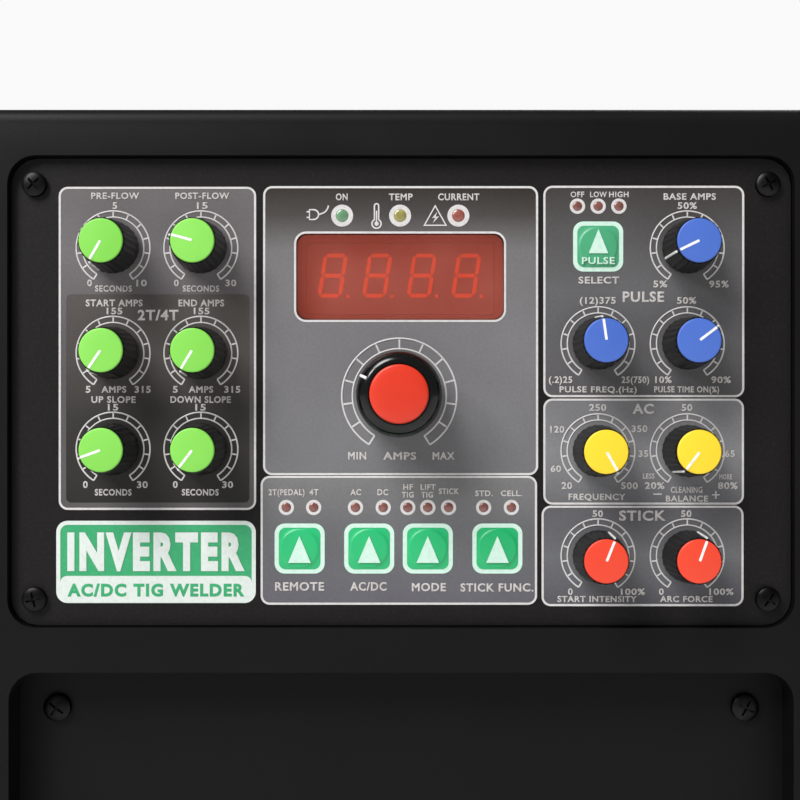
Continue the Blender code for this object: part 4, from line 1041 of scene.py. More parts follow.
# %% The legends
LEGENDS = [  # words, right, up, height of a capital, width
    ("PRE-FLOW", -81.4, 55.9, 1.85, 13.7), ("5", -81.5, 53.1, 1.95, 1.4), ("0", -88.7, 31.1, 1.9, 1.4),
    ("10", -73.9, 31.1, 1.9, 3.0), ("SECONDS", -81.9, 29.5, 1.8, 10.5), ("POST-FLOW", -56.6, 55.9, 1.85, 15.4),
    ("15", -56.6, 53.1, 1.95, 3.1), ("0", -64, 31.1, 1.9, 1.4), ("30", -48.5, 31.1, 1.9, 3.1),
    ("SECONDS", -57, 29.5, 1.8, 10.4), ("START AMPS", -81.7, 25.4, 1.95, 16.2), ("155", -81.6, 23.1, 1.9, 4.5),
    ("END AMPS", -56.9, 25.4, 1.95, 13.0), ("155", -56.8, 23.1, 1.9, 4.5), ("2T/4T", -69.2, 22.0, 3.0, 11.6),
    ("5", -89.1, 0.8, 1.95, 1.4), ("AMPS", -81.8, 0.8, 1.9, 7.1), ("315", -73.6, 0.8, 1.95, 4.6),
    ("5", -64.3, 0.8, 1.95, 1.4), ("AMPS", -57, 0.8, 1.9, 7.0), ("315", -48.1, 0.8, 1.95, 4.6),
    ("UP SLOPE", -81.9, -2.1, 1.9, 12.6), ("15", -82, -4.3, 1.9, 3.0), ("DOWN SLOPE", -57.1, -2.1, 1.9, 17.2),
    ("15", -57.1, -4.3, 1.9, 3.0), ("0", -89.9, -26.3, 1.95, 1.4), ("30", -73.7, -26.3, 1.95, 3.1),
    ("SECONDS", -82, -28.5, 1.85, 10.5), ("0", -64.3, -26.3, 1.95, 1.4), ("30", -49.4, -26.3, 1.95, 3.1),
    ("SECONDS", -57.2, -28.5, 1.85, 10.5),
    ("ON", -16.9, 55.6, 1.95, 3.4), ("TEMP", -0.1, 55.6, 1.95, 6.8), ("CURRENT", 16.4, 55.6, 1.95, 11.8),
    ("MIN", -12.5, -18.1, 2.2, 5.2), ("AMPS", -0.4, -18.1, 2.2, 9.4), ("MAX", 12.1, -18.1, 2.2, 6.3),
    ("2T(PEDAL)", -32.6, -28.5, 1.75, 10.3), ("4T", -24.8, -28.5, 1.75, 2.6), ("AC", -12.9, -28.5, 1.75, 3.1),
    ("DC", -5.2, -28.5, 1.75, 3.1), ("HF", 2.0, -27.0, 1.65, 2.8), ("TIG", 1.9, -29.2, 1.65, 3.4),
    ("LIFT", 7.7, -27.0, 1.65, 4.3), ("TIG", 7.4, -29.2, 1.65, 3.4), ("STICK", 13.6, -28.2, 1.65, 5.7),
    ("STD.", 23.6, -28.8, 1.65, 5.0), ("CELL.", 31.4, -28.8, 1.65, 6.0),
    ("REMOTE", -28.9, -55.3, 2.45, 14.0), ("AC/DC", -9.3, -55.3, 2.45, 10.4), ("MODE", 7.9, -55.5, 2.35, 9.7),
    ("STICK FUNC.", 27.3, -55.6, 2.35, 20.8),
    ("OFF", 50.2, 56.3, 1.6, 3.9), ("LOW", 56.2, 56.3, 1.6, 4.8), ("HIGH", 62.0, 56.3, 1.6, 5.6),
    ("BASE AMPS", 82.2, 55.7, 1.9, 14.9), ("50%", 81.5, 53.1, 1.95, 5.5), ("SELECT", 56.3, 31.9, 2.0, 11.6),
    ("5%", 73.8, 30.8, 1.95, 4.0), ("95%", 90.5, 30.8, 1.95, 5.6), ("PULSE", 69, 27.2, 3.0, 11.8),
    ("(12)375", 56, 26.1, 1.95, 10.3), ("50%", 81.3, 26.1, 1.95, 5.5), ("(.2)25", 45.4, 3.55, 1.9, 6.7),
    ("25(750)", 66.7, 3.55, 1.9, 7.9), ("10%", 74.7, 3.55, 1.9, 4.7), ("90%", 91.1, 3.55, 1.9, 5.6),
    ("PULSE FREQ.(Hz)", 56.1, 0.8, 1.75, 22.0), ("PULSE TIME ON(%)", 81.3, 0.8, 1.75, 18.5),
    ("AC", 68.9, -4.7, 2.85, 6.0), ("250", 56, -4.4, 1.95, 4.9), ("50", 81.4, -4.4, 1.95, 3.1),
    ("120", 44.5, -10.6, 1.95, 4.0), ("350", 67.9, -10.4, 1.95, 4.5), ("60", 44.1, -21.8, 1.85, 3.0),
    ("35", 69, -17.5, 1.9, 2.8), ("65", 93.6, -17.5, 1.9, 2.8), ("20", 47.2, -26.6, 1.95, 3.0),
    ("500", 65, -26.6, 1.95, 4.8), ("20%", 72.2, -26.6, 1.95, 5.6), ("80%", 93, -26.6, 1.95, 5.6),
    ("LESS", 70.5, -23.9, 1.5, 3.3), ("MORE", 92.4, -24.1, 1.5, 3.6), ("FREQUENCY", 55.8, -29.8, 1.8, 16.2),
    ("CLEANING", 81.3, -27.8, 1.75, 9.0), ("BALANCE", 81.4, -30.3, 1.75, 12.0),
    ("STICK", 68.7, -35.1, 2.9, 13.3), ("50", 56, -34.6, 1.9, 3.0), ("50", 81.2, -34.6, 1.9, 3.0),
    ("0", 48.2, -56.8, 1.85, 1.4), ("100%", 66, -56.8, 1.85, 6.9), ("0", 74.1, -56.8, 1.85, 1.4),
    ("100%", 91.2, -56.8, 1.85, 6.9), ("START INTENSITY", 55.8, -58.9, 1.75, 22.6),
    ("ARC FORCE", 81.2, -58.9, 1.75, 15.0),
]
print(len(LEGENDS), "legends")

# %% Draw a word
BOLD = 0.03  # how far the bevel reaches out, as part of the font's size


def extent(mesh, axis):
    places = [vert.co[axis] for vert in mesh.vertices]
    return min(places), max(places)


def add_words(bm, words, place, height, depths, width=None, bold=BOLD, spacing=1.12, capital=None):
    """Adds a word centred on place, (right, up), as wide as asked. depths are its front and back."""
    letters = bpy.data.curves.new("words", "FONT")
    letters.body, letters.resolution_u, letters.space_character = words, 3, spacing
    letters.size = height / (capital or CAPITAL)
    letters.bevel_depth, letters.bevel_resolution = bold * letters.size, 0
    holder = bpy.data.objects.new("words", letters)
    mesh = bpy.data.meshes.new_from_object(holder)
    left, right = extent(mesh, 0)
    stretch = width / (right - left) if width else 1
    press = (depths[1] - depths[0]) / (2 * letters.bevel_depth)
    mesh.transform(Matrix.Translation((place[0], sum(depths) / 2, place[1] - height / 2))
                   @ Matrix.Rotation(math.radians(90), 4, "X") @ Matrix.Diagonal((stretch, 1, press, 1))
                   @ Matrix.Translation((-(left + right) / 2, 0, 0)))
    bm.from_mesh(mesh)
    bottom, top = extent(mesh, 2)
    bpy.data.objects.remove(holder)
    bpy.data.curves.remove(letters)
    bpy.data.meshes.remove(mesh)
    return top - bottom


CAPITAL = add_words(bmesh.new(), "H", (0, 0), 1.0, (0, 0.1), capital=1.0)
print("a capital is", round(CAPITAL, 3), "of the font's size")

# %% Print the legends
legends = bmesh.new()
for words, x, z, height, width in LEGENDS:
    add_words(legends, words, (x, z), height, LAYERS["word"], width)
fix(new_piece("panel_legends", legends, PANEL_FACE), "machine", legend_ink)

# %% [markdown]
# ### Pictures beside the lamps
# Three small pictures stand beside the status lamps: a mains plug, a thermometer and the triangle with a bolt that
# means electricity. They're line drawings, so each is a bent bar pressed flat. So are the two signs under the
# balance dial.

# %% Pictures
STROKE, THIN_STROKE, TRIANGLE_STROKE, CROSSING = 0.24, 0.2, 0.4, 0.8
pictures = bmesh.new()


def draw(points, closed=False, width=STROKE, press=1.0):
    """Adds a bent bar. press below 1 makes it thinner than one that it crosses."""
    flat = (sum(LAYERS["word"]) / 2, press * (LAYERS["word"][1] - LAYERS["word"][0]))
    add_tube(pictures, [(x, 0, z) for x, z in points], width, sides=8, closed=closed, flatten=flat)


plug_body = [(-26.1, 49.1), (-26.1, 51.9)] + arc((-24.9, 50.5), 1.4, 90, -90, 8)
draw(plug_body, closed=True)
draw([(-26.9, 51.3), (-26.1, 51.3)], press=CROSSING)
draw([(-26.9, 49.7), (-26.1, 49.7)], press=CROSSING)
draw([(-23.5, 50.5)] + arc((-23.3, 53.3), 2.6, -70, -5, 6), press=CROSSING)
bulb = arc((-7.0, 47.9), 1.3, 118, 422, 18)
draw(bulb + [(-6.4, 53.0)] + arc((-7.0, 53.0), 0.6, 0, 180, 6), closed=True)
draw([(-7.0, 48.3), (-7.0, 51.6)], width=THIN_STROKE, press=CROSSING)
add_slab(pictures, [disc(0.62, (-7.0, 47.9))], *LAYERS["word"])
draw([(6.6, 47.45), (12.8, 47.45), (9.7, 53.0)], closed=True, width=TRIANGLE_STROKE)
draw([(71.8, -29.1), (74.2, -29.1)], width=THIN_STROKE)
draw([(88.5, -29.3), (90.7, -29.3)], width=THIN_STROKE)
draw([(89.6, -28.2), (89.6, -30.4)], width=THIN_STROKE, press=CROSSING)
bolt = [(10.3, 51.3), (8.8, 49.5), (9.7, 49.6), (9.0, 48.0), (10.8, 50.0), (9.8, 49.9)]
add_slab(pictures, [bolt], *LAYERS["word"])
fix(new_piece("status_pictures", pictures, PANEL_FACE), "machine", pale_ink)

# %% [markdown]
# ### The badge
# The lower left corner carries a badge. It only says what kind of machine this is: a green field over a pale band,
# inside a pale border, with plain words. Pale pieces laid side by side would show their seams, so border and band
# are one slab with a hole in it, and the green is a second slab that shows through the hole.

# %% Badge
BADGE = (-98.2, -41.4, -36.7, -60.1, 3.2)  # left, right, top, bottom, corner radius
BAND_TOP, BADGE_BORDER, FIELD_CORNER, BAND_CORNER, WORD_WIDTH = -52.4, 1.15, 2.1, 1.9, 50.5
badge_left, badge_right, badge_top = BADGE[:3]
badge_middle = (badge_left + badge_right) / 2
inner_left, inner_right, inner_top = badge_left + BADGE_BORDER, badge_right - BADGE_BORDER, badge_top - BADGE_BORDER
green = arc((inner_left + FIELD_CORNER, inner_top - FIELD_CORNER), FIELD_CORNER, 180, 90, 6)
green += arc((inner_right - FIELD_CORNER, inner_top - FIELD_CORNER), FIELD_CORNER, 90, 0, 6)
green += arc((inner_right - BAND_CORNER, BAND_TOP - BAND_CORNER), BAND_CORNER, 0, 90, 6)
green += arc((inner_left + BAND_CORNER, BAND_TOP - BAND_CORNER), BAND_CORNER, 90, 180, 6)
badge_white = slab([field_outline(*BADGE), green], *LAYERS["line"])
add_words(badge_white, "INVERTER", (badge_middle, -45.1), 10.2, (-0.32, -0.18), WORD_WIDTH, bold=0.06, spacing=1.24)
fix(new_piece("badge_white", badge_white, PANEL_FACE), "machine", badge_white_ink)
badge_ground = slab([field_outline(*BADGE, inset=0.5)], *LAYERS["field"])
fix(new_piece("badge_ground", badge_ground, PANEL_FACE), "machine", badge_green_ink)
badge_words = bmesh.new()
add_words(badge_words, "AC/DC TIG WELDER", (badge_middle, -56.3), 3.5, (-0.3, -0.18), WORD_WIDTH,
          bold=0.05, spacing=1.18)
fix(new_piece("badge_words", badge_words, PANEL_FACE), "machine", badge_green_ink)

# %% [markdown]
# ## Display
# Behind the red window is a four-digit module. Its segments are moulded epoxy in slots of a flat face, unlit, and
# a faint painted glow makes them show through the window. One segment is a bar with pointed ends. A digit leans by
# eight degrees, and the four digits are repeated at the module's pitch.

# %% Display module
DIGIT_HEIGHT, DIGIT_WIDTH, DIGIT_PITCH, SEGMENT, LEAN = 12.7, 7.0, 12.85, 1.12, math.radians(8.6)
MODULE_FRONT = 5.15
module = slab([rounded(54, 20.5, 0.6, (0, 0), 3)], MODULE_FRONT, MODULE_FRONT + 0.3)
module_at = on_panel(window_middle.x, window_middle.z)
fix(new_piece("display_module", module, module_at), "machine", module_face)
surround = slab([rounded(62, 25.6, 1, (0, 0), 3), rounded(54.3, 20.8, 0.6, (0, 0), 3)],
                MODULE_FRONT - 0.5, MODULE_FRONT + 0.1)
fix(new_piece("display_surround", surround, module_at), "machine", module_edge)


# %% Digits and window
def segment_bar(start, end):
    """The outline of one segment, with pointed ends, leaning with its digit."""
    (ax, az), (bx, bz) = start, end
    length = math.hypot(bx - ax, bz - az)
    along, side = ((bx - ax) / length, (bz - az) / length), (-(bz - az) / length, (bx - ax) / length)
    half, gap = SEGMENT / 2, 0.18
    shape = [(gap, 0), (gap + half, half), (length - gap - half, half), (length - gap, 0),
             (length - gap - half, -half), (gap + half, -half)]
    points = [(ax + u * along[0] + v * side[0], az + u * along[1] + v * side[1]) for u, v in shape]
    return [(x + z * math.tan(LEAN), z) for x, z in points]


digits = bmesh.new()
half_w, half_h = (DIGIT_WIDTH - SEGMENT) / 2, (DIGIT_HEIGHT - SEGMENT) / 2
corners = {"tl": (-half_w, half_h), "tr": (half_w, half_h), "ml": (-half_w, 0), "mr": (half_w, 0),
           "bl": (-half_w, -half_h), "br": (half_w, -half_h)}
strokes = [("tl", "tr"), ("tl", "ml"), ("tr", "mr"), ("ml", "mr"), ("ml", "bl"), ("mr", "br"), ("bl", "br")]
for number in range(4):
    offset = (number - 1.5) * DIGIT_PITCH
    for first, second in strokes:
        bar = [(x + offset - 0.2, z + 0.9) for x, z in segment_bar(corners[first], corners[second])]
        add_slab(digits, [bar], MODULE_FRONT - 0.12, MODULE_FRONT + 0.05)
    add_slab(digits, [disc(0.5, (offset + 4.1, -half_h + 0.75), 12)], MODULE_FRONT - 0.1, MODULE_FRONT + 0.05)
# The digits carry the painted glow of their epoxy finish.
fix(new_piece("display_digits", digits, module_at), "machine", segments_with_painted_glow)
lens = new_piece("display_lens", slab([rounded(58.6, 24.0, 2.9, (0, 0))], 0.05, 1.6), module_at)
fix(lens, "machine", window_acrylic, ["display_window"])

# %% [markdown]
# ## Lamps
# Fifteen light-emitting diodes look out through holes in the panel. Each lens is a small dome of epoxy, turned as
# a half ellipse.

# %% Lamps
def dome(radius, rise):
    curve = [(radius * math.cos(t), -rise * math.sin(t)) for t in (math.radians(15 * i) for i in range(6))]
    return lathe([(0, 1.2), (radius, 1.2)] + curve + [(0, -rise)], 28)


lens_shape = new_piece("lens", dome(1.43, 0.5), smooth=60)
small_lamps = repeat("small_lamps", lens_shape, [on_panel(x, z) for x, z in SMALL_LAMPS], lamp_finishes["small"])
fix(small_lamps, "machine", lamp_finishes["small"])
for name, x in STATUS_LAMPS.items():
    lamp = new_piece(f"{name}_lamp", dome(1.9, 0.62), on_panel(x, STATUS_Z), smooth=60)
    fix(lamp, "machine", lamp_finishes[name])

# %% [markdown]
# ## Keys
# Each key is an embossed pad: a flat square with a round hill in its middle, edged by a fine ridge, and a printed
# arrow. The hill is turned, the square is cut from flat stock, and they're joined.

# %% Keys
def key_pad(name, node, finish, at):
    pad = new_piece(f"{name}_pad", slab([rounded(11.8, 11.8, 2.0)], -0.3, 3.0), at)
    hill = lathe([(0, 0), (5.75, 0), (5.7, -0.28), (5.5, -0.44), (5.2, -0.56), (4.9, -0.6), (4.4, -0.61), (3.6, -0.68),
                  (2.2, -0.76), (0, -0.8)], 56)
    carve(pad, hill, at, "UNION")
    soften(pad, 0.14, 2, 60)
    return fix(pad, node, finish, [node])


ARROW = [(0, 3.6), (-3.2, -4.0), (3.2, -4.0)]
PULSE_ARROW = [(0, 4.9), (-2.75, -2.0), (2.75, -2.0)]
for name in ("remote", "ac_dc", "mode", "stick_function", "pulse"):
    node = f"{name}_button"
    at = on_panel(KEYS[node].x, KEYS[node].z)
    key_pad(name, node, pulse_key_green if name == "pulse" else key_green, at)
    mark = slab([PULSE_ARROW if name == "pulse" else ARROW], -1.0, -0.8)
    if name == "pulse":
        add_words(mark, "PULSE", (0, -4.0), 2.0, (-0.98, -0.5), 9.4)
    fix(new_piece(f"{name}_mark", mark, at), node, key_border_ink)

# %% [markdown]
# ## Knobs
# A small knob is a tapered nylon body with flutes for the fingers, and a flat coloured cap pressed into its top.
# A white line crosses the cap and runs down the body. The body follows a rule, a radius that ripples with the
# angle, so its mesh is made ring by ring from that rule. Each knob is drawn pointing up and then turned to where
# it was left.

# %% Fluted body
FLUTES, FLUTE_DEPTH = 24, 0.32


def fluted_body(base, top, height, lip):
    """A body from just off the panel to its top, whose side ripples. lip is the radius of the cap's seat."""
    segments = FLUTES * 8
    # Each level is a radius, a depth and how much of the flutes it shows.
    levels = [(0, -0.8, 0), (base - 0.5, -0.8, 0), (base, -1.3, 0.6)]
    for step in range(9):
        part = step / 8
        levels.append((base + (top - base) * part, -1.8 - (height - 3.4) * part, 1))
    levels += [(top - 0.05, -height + 0.9, 0.5), (top - 0.35, -height + 0.3, 0), (lip + 0.1, -height + 0.1, 0),
               (lip, -height + 1.3, 0), (0, -height + 1.3, 0)]
    bm = bmesh.new()
    rings = []
    for radius, y, ripple in levels:
        if radius == 0:
            rings.append([bm.verts.new((0, y, 0))])
            continue
        ring = []
        for i in range(segments):
            turn = 2 * math.pi * i / segments
            wave = 0.5 - 0.5 * math.cos(FLUTES * turn)
            r = radius - FLUTE_DEPTH * ripple * (1 - wave ** 2)
            ring.append(bm.verts.new((r * math.cos(turn), y, r * math.sin(turn))))
        rings.append(ring)
    bridge(bm, rings, segments)
    return bm


HALF_TRAVEL = 150  # degrees from straight up to either stop


def joint_called(name):
    return next(joint for joint in frame["joints"] if joint["name"] == name)


def knob_turn(joint_name):
    """How far a knob is turned at rest, clockwise from straight up, from what is left of its joint's travel."""
    return Matrix.Rotation(math.radians(HALF_TRAVEL - joint_called(joint_name)["range_deg"][1]), 4, "Y")


# %% Small knobs
CAP_SLOTS = {m["node"]: m["material_slot"] for m in frame["record"]["subparts"]}


def small_knob(name):
    at, turn = on_panel(*KNOBS[name]), knob_turn(f"{name}_turn")
    tall = -1000 * (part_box(f"{name}_cap")[0].y - PANEL_FACE.y)
    body = new_piece(f"{name}_knob_body", fluted_body(7.5, 6.6, tall - 0.4, 6.02), at, turn, smooth=50)
    fix(body, name, knob_nylon, [f"{name}_knob"])
    edge = arc((5.62, -tall + 0.5), 0.45, 0, -90, 5)
    cap = lathe([(0, -tall + 1.9), (5.9, -tall + 1.9), (6.07, -tall + 1.2)] + edge + [(0, -tall - 0.02)], 64)
    slot = CAP_SLOTS[f"{name}_cap"]
    fix(new_piece(f"{name}_cap_face", cap, at, turn), name, cap_finishes[slot], [f"{name}_cap"])
    line = slab([rounded(0.72, 5.8, 0.2, (0, 3.0), 2)], -tall - 0.06, -tall + 0.5)
    side = [(0, -2.4, 7.33), (0, -tall + 1.6, 6.72)]
    add_tube(line, side, 0.34, sides=8)
    fix(new_piece(f"{name}_pointer", line, at, turn), name, pointer_paint)


for name in KNOBS:
    if name != "main_amps":
        small_knob(name)

# %% [markdown]
# ### The main knob
# The main knob is larger and polished. Its shoulder is a quarter ellipse that catches the window light, its red
# cap is slightly domed, and a short white mark on the shoulder points at the dial.

# %% Main knob
main_at, main_turn = on_panel(*KNOBS["main_amps"]), knob_turn("main_amps_turn")
main_tall = -1000 * (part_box("main_amps_cap")[0].y - PANEL_FACE.y)
shoulder = [(8.5 + 3.35 * math.cos(t), -main_tall + 5.9 - 4.6 * math.sin(t))
            for t in (math.radians(7.5 * i) for i in range(13))]
main_profile = [(0, -0.8), (11.2, -0.8), (11.8, -1.4), (11.85, -3)] + shoulder
main_profile += [(8.4, -main_tall + 1.3), (8.25, -main_tall + 2.6), (0, -main_tall + 2.6)]
main_body = new_piece("main_knob_body", lathe(main_profile, 96), main_at, main_turn, smooth=40)
fix(main_body, "main_amps", gloss_nylon, ["main_amps_knob"])
crown = arc((7.35, -main_tall + 1.0), 0.7, 0, -80, 5) + [(5.5, -main_tall + 0.12), (3, -main_tall + 0.03)]
cap_profile = [(0, -main_tall + 3), (7.95, -main_tall + 3), (8.05, -main_tall + 1.6)] + crown + [(0, -main_tall)]
main_cap = lathe(cap_profile, 80)
fix(new_piece("main_knob_cap", main_cap, main_at, main_turn), "main_amps", main_cap_red, ["main_amps_cap"])
mark = bmesh.new()
mark_path = [(0, y - 0.02, radius) for radius, y in shoulder if 9.6 < radius < 11.7]
add_tube(mark, mark_path, 0.42, sides=10)
fix(new_piece("main_knob_pointer", mark, main_at, main_turn), "main_amps", pointer_paint)

# %% [markdown]
# ## Output sockets
# The welding cables plug into two twist-lock sockets: a black nylon nose round a brass insert with a keyway for
# the plug's lug. Nose and insert are both turned. The finger notches and the keyway are then milled out, here
# with Booleans. Raised signs beside the sockets say which is which, and a coloured ring repeats it.

# %% Output sockets
NOTCHES = 18


def output_socket(node, ring_finish):
    middle = centre_of(node)
    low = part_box(node)[0]
    at = Vector((middle.x, low.y, middle.z))
    nose = [(9.6, 16), (9.6, 1.0), (10.1, 0.3), (17.2, 0.3)] + arc((17.2, 1.5), 1.2, -90, 0, 5)
    nose += [(18.4, 10.9), (22.0, 10.9), (22.5, 11.4), (22.5, 15.7), (13.0, 15.7), (13.0, 40), (9.6, 40)]
    insulator = new_piece(f"{node}_nose", lathe(nose, 64, closed=True), at)
    notches = bmesh.new()
    for i in range(NOTCHES):
        t = 2 * math.pi * i / NOTCHES
        notch = lathe([(0, 3), (1.1, 3), (1.1, 10.4), (0, 10.4)], 10)
        bmesh.ops.translate(notch, vec=(18.9 * math.cos(t), 0, 18.9 * math.sin(t)), verts=notch.verts)
        add_shape(notches, notch)
    carve(insulator, notches, at)
    fix(insulator, "machine", socket_nylon, [node])
    insert = [(0, 40), (6.9, 40), (6.9, 1.0), (7.3, 0.5), (9.3, 0.5), (9.6, 0.8), (9.6, 44), (6.0, 44), (6.0, 69.7),
              (0, 69.7)]
    brass = new_piece(f"{node}_insert", lathe(insert, 48), at)
    keyway = bmesh.new()
    add_box(keyway, (-2, -1, 4), (2, 25, 9.2))
    carve(brass, keyway, at)
    fix(brass, "machine", turned_brass)
    ring = lathe([(11.6, 0.36), (11.6, 0.12), (14.6, 0.12), (14.6, 0.36)], 64, closed=True)
    fix(new_piece(f"{node}_ring", ring, at), "machine", ring_finish)


output_socket("negative_output_socket", knob_nylon)
output_socket("positive_output_socket", cap_finishes["red_cap"])

# %% Signs beside the sockets
SIGN_RISE, SIGN_LENGTH, SIGN_STROKE = 31, 9, 2.2
signs = bmesh.new()
sign_face = BODY_FACE + Vector((0, POCKET_SUNK, 0)) * MM
for node in ("negative_output_socket", "positive_output_socket"):
    sign_at = (1000 * centre_of(node).x, socket_z + SIGN_RISE)
    add_slab(signs, [rounded(SIGN_LENGTH, SIGN_STROKE, 0.4, sign_at, 2)], -0.5, 0.1)
    if node.startswith("positive"):
        add_slab(signs, [rounded(SIGN_STROKE, SIGN_LENGTH, 0.4, sign_at, 2)], -0.5, 0.1)
for words, node in (("GAS", "gas_outlet_fitting"), ("REMOTE", "remote_control_socket")):
    add_words(signs, words, (1000 * centre_of(node).x, socket_z + 19), 3.2, (-0.3, 0.1))
fix(new_piece("socket_signs", signs, sign_face), "machine", pale_ink)

# %% [markdown]
# ## Gas outlet and remote socket
# The shielding gas leaves through a brass bulkhead fitting: a hexagon nut with chamfered corners, a flange and a
# hose barb. The turned barb and the flat hexagon are joined with a Boolean, and one bevel chamfers both. The
# remote socket is a nickel shell round a black insert with pins. The pins are copies on a circle.

# %% Gas outlet
def front_of(node):
    """The middle of a node's front, in metres."""
    middle = centre_of(node)
    return Vector((middle.x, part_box(node)[0].y, middle.z))


outlet_at = front_of("gas_outlet_fitting")
barb = [(0, 10), (1.8, 10), (1.8, 0.5), (2.2, 0), (3.6, 0), (5.0, 2.8), (4.1, 3.2), (4.1, 4.2), (5.0, 6.6),
        (4.1, 7.0), (4.1, 10)]
barb += [(6.2, 11.4), (6.5, 12), (6.5, 15.2), (9.2, 15.2), (9.2, 21.6), (5.9, 21.6), (5.9, 40), (0, 40)]
outlet = new_piece("gas_outlet_brass", lathe(barb, 48), outlet_at)
nut = slab([disc(10.5, (0, 0), 6)], 15.5, 21.4)
carve(outlet, nut, outlet_at, "UNION")
soften(outlet, 0.35, 2, 45)
fix(outlet, "machine", turned_brass, ["gas_outlet_fitting"])

# %% Remote socket
remote_at = front_of("remote_control_socket")
threads = []
for i in range(5):
    start = 1.2 + i * 1.2
    threads += [(9.2, start), (8.75, start + 0.6)]
shell = [(0, 10), (7.2, 10), (7.2, 0.4), (7.5, 0), (8.7, 0)] + threads
shell += [(9.2, 7.4), (9.2, 8.5), (12.1, 8.5), (12.5, 8.9), (12.5, 12.7), (7.9, 12.7), (7.9, 29), (0, 29)]
remote = new_piece("remote_socket_shell", lathe(shell, 64), remote_at)
fix(remote, "machine", nickel, ["remote_control_socket"])
insert = lathe([(0, 10.2), (7.15, 10.2), (7.15, 8.3), (6.9, 8.0), (0, 8.0)], 48)
fix(new_piece("remote_socket_insert", insert, remote_at), "machine", socket_nylon)
pin = new_piece("pin", lathe([(0, 9), (0.75, 9), (0.75, 3.6)] + arc((0, 3.6), 0.75, 0, -90, 5), 16))
pin_places = [remote_at + Vector((4.4 * math.cos(t), 0, 4.4 * math.sin(t))) * MM
              for t in (2 * math.pi * i / 7 + 0.2 for i in range(7))]
fix(repeat("remote_socket_pins", pin, pin_places, turned_brass), "machine", turned_brass)

# %% [markdown]
# ## The fan guard
# A guard of zinc-plated wire keeps fingers out of the fan. Its rings come from a tree that draws a circle at each
# step of a radius and sweeps the wire along it. Four arms hold the rings, and end in eyes for the screws.

# %% The tree that draws the guard's rings
GUARD_RINGS, GUARD_FIRST, GUARD_PITCH, GUARD_WIRE = 8, 17.0, 7.0, 0.95


def guard_tree():
    tree, source, end = new_tree("guard rings", [
        ("Rings", "NodeSocketInt"), ("First", "NodeSocketFloat"), ("Pitch", "NodeSocketFloat"),
        ("Wire", "NodeSocketFloat"), ("Finish", "NodeSocketMaterial")])
    count = add(tree, "GeometryNodePoints", {"Count": source.outputs["Rings"]})
    number = add(tree, "GeometryNodeInputIndex").outputs["Index"]
    growth = add(tree, "ShaderNodeMath", {0: number, 1: source.outputs["Pitch"]}, operation="MULTIPLY").outputs[0]
    radius = add(tree, "ShaderNodeMath", {0: growth, 1: source.outputs["First"]}, operation="ADD").outputs[0]
    circle = add(tree, "GeometryNodeCurvePrimitiveCircle", {"Resolution": 96, "Radius": 1.0})
    upright = add(tree, "GeometryNodeTransform", {"Geometry": circle.outputs["Curve"], "Rotation": (math.pi / 2, 0, 0)})
    rings = add(tree, "GeometryNodeInstanceOnPoints", {"Points": count.outputs["Points"],
                                                       "Instance": upright.outputs["Geometry"], "Scale": radius})
    real = add(tree, "GeometryNodeRealizeInstances", {"Geometry": rings.outputs["Instances"]})
    section = add(tree, "GeometryNodeCurvePrimitiveCircle", {"Resolution": 10, "Radius": source.outputs["Wire"]})
    wire = add(tree, "GeometryNodeCurveToMesh", {"Curve": real.outputs["Geometry"],
                                                 "Profile Curve": section.outputs["Curve"]})
    placed = add(tree, "GeometryNodeInstanceOnPoints", {"Points": source.outputs["Points"],
                                                        "Instance": wire.outputs["Mesh"]})
    finish_tree(tree, source, placed.outputs["Instances"], end)
    return tree


# %% Guard
guard_low, guard_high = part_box("fan_guard")
ring_plane = Vector((fan_place.x, guard_high.y - 0.0011, fan_place.z))
rings = run_tree("guard_rings", guard_tree(), [ring_plane], Rings=GUARD_RINGS, First=GUARD_FIRST * MM,
                 Pitch=GUARD_PITCH * MM, Wire=GUARD_WIRE * MM, Finish=zinc_wire)
rings.data.shade_smooth()
fix(rings, "machine", zinc_wire)
arms = bmesh.new()
add_slab(arms, [disc(12, steps=48)], -1.4, 1.0)
for quarter in range(4):
    t = math.radians(45 + 90 * quarter)
    reach = [(math.cos(t) * r, y, math.sin(t) * r) for r, y in ((8, -0.6), (70, -0.6), (74, 0.6))]
    add_tube(arms, reach, 1.25, sides=12)
    eye = [(math.cos(t) * 77 + 3.4 * math.cos(a), 0.8, math.sin(t) * 77 + 3.4 * math.sin(a))
           for a in (2 * math.pi * i / 24 for i in range(24))]
    add_tube(arms, eye, 1.1, sides=10, closed=True)
arms_at = Vector((fan_place.x, guard_low.y + 0.0015, fan_place.z))
fix(new_piece("guard_arms", arms, arms_at, smooth=45), "machine", zinc_wire, ["fan_guard"])
eye_points = [arms_at + Vector((54.4 * a, 0.9, 54.4 * b)) * MM for a in (-1, 1) for b in (-1, 1)]
screws("guard_screws", "back", eye_points, finish=black_oxide, radius=3.4, height=2.0, seed=31)

# %% [markdown]
# ## The rotor
# Seven twisted blades on a hub are moulded in one piece. A blade is a grid of points worked out from how far out
# and how far along the blade each one is, once for each face, and its edges are closed. The rotor is the one
# piece here that turns, so it rides on the fan. The frame with its motor stays as the CAD has it.

# %% Hub
rotor_low, rotor_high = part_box("fan_rotor")
hub_front, hub_back = 1000 * rotor_low.y, 1000 * rotor_high.y
BLADES, HUB_RADIUS, BLADE_TIP = 7, 28.0, 66.5
hub_profile = [(0, hub_front + 15), (22.6, hub_front + 15), (22.6, hub_front), (27.6, hub_front),
               (HUB_RADIUS, hub_front + 0.4)]
hub_profile += arc((25, hub_back - 3), 3, 0, 90, 6) + [(0, hub_back)]
rotor_mesh = lathe(hub_profile, 72)
print("hub:", round(hub_back - hub_front, 1), "mm deep")


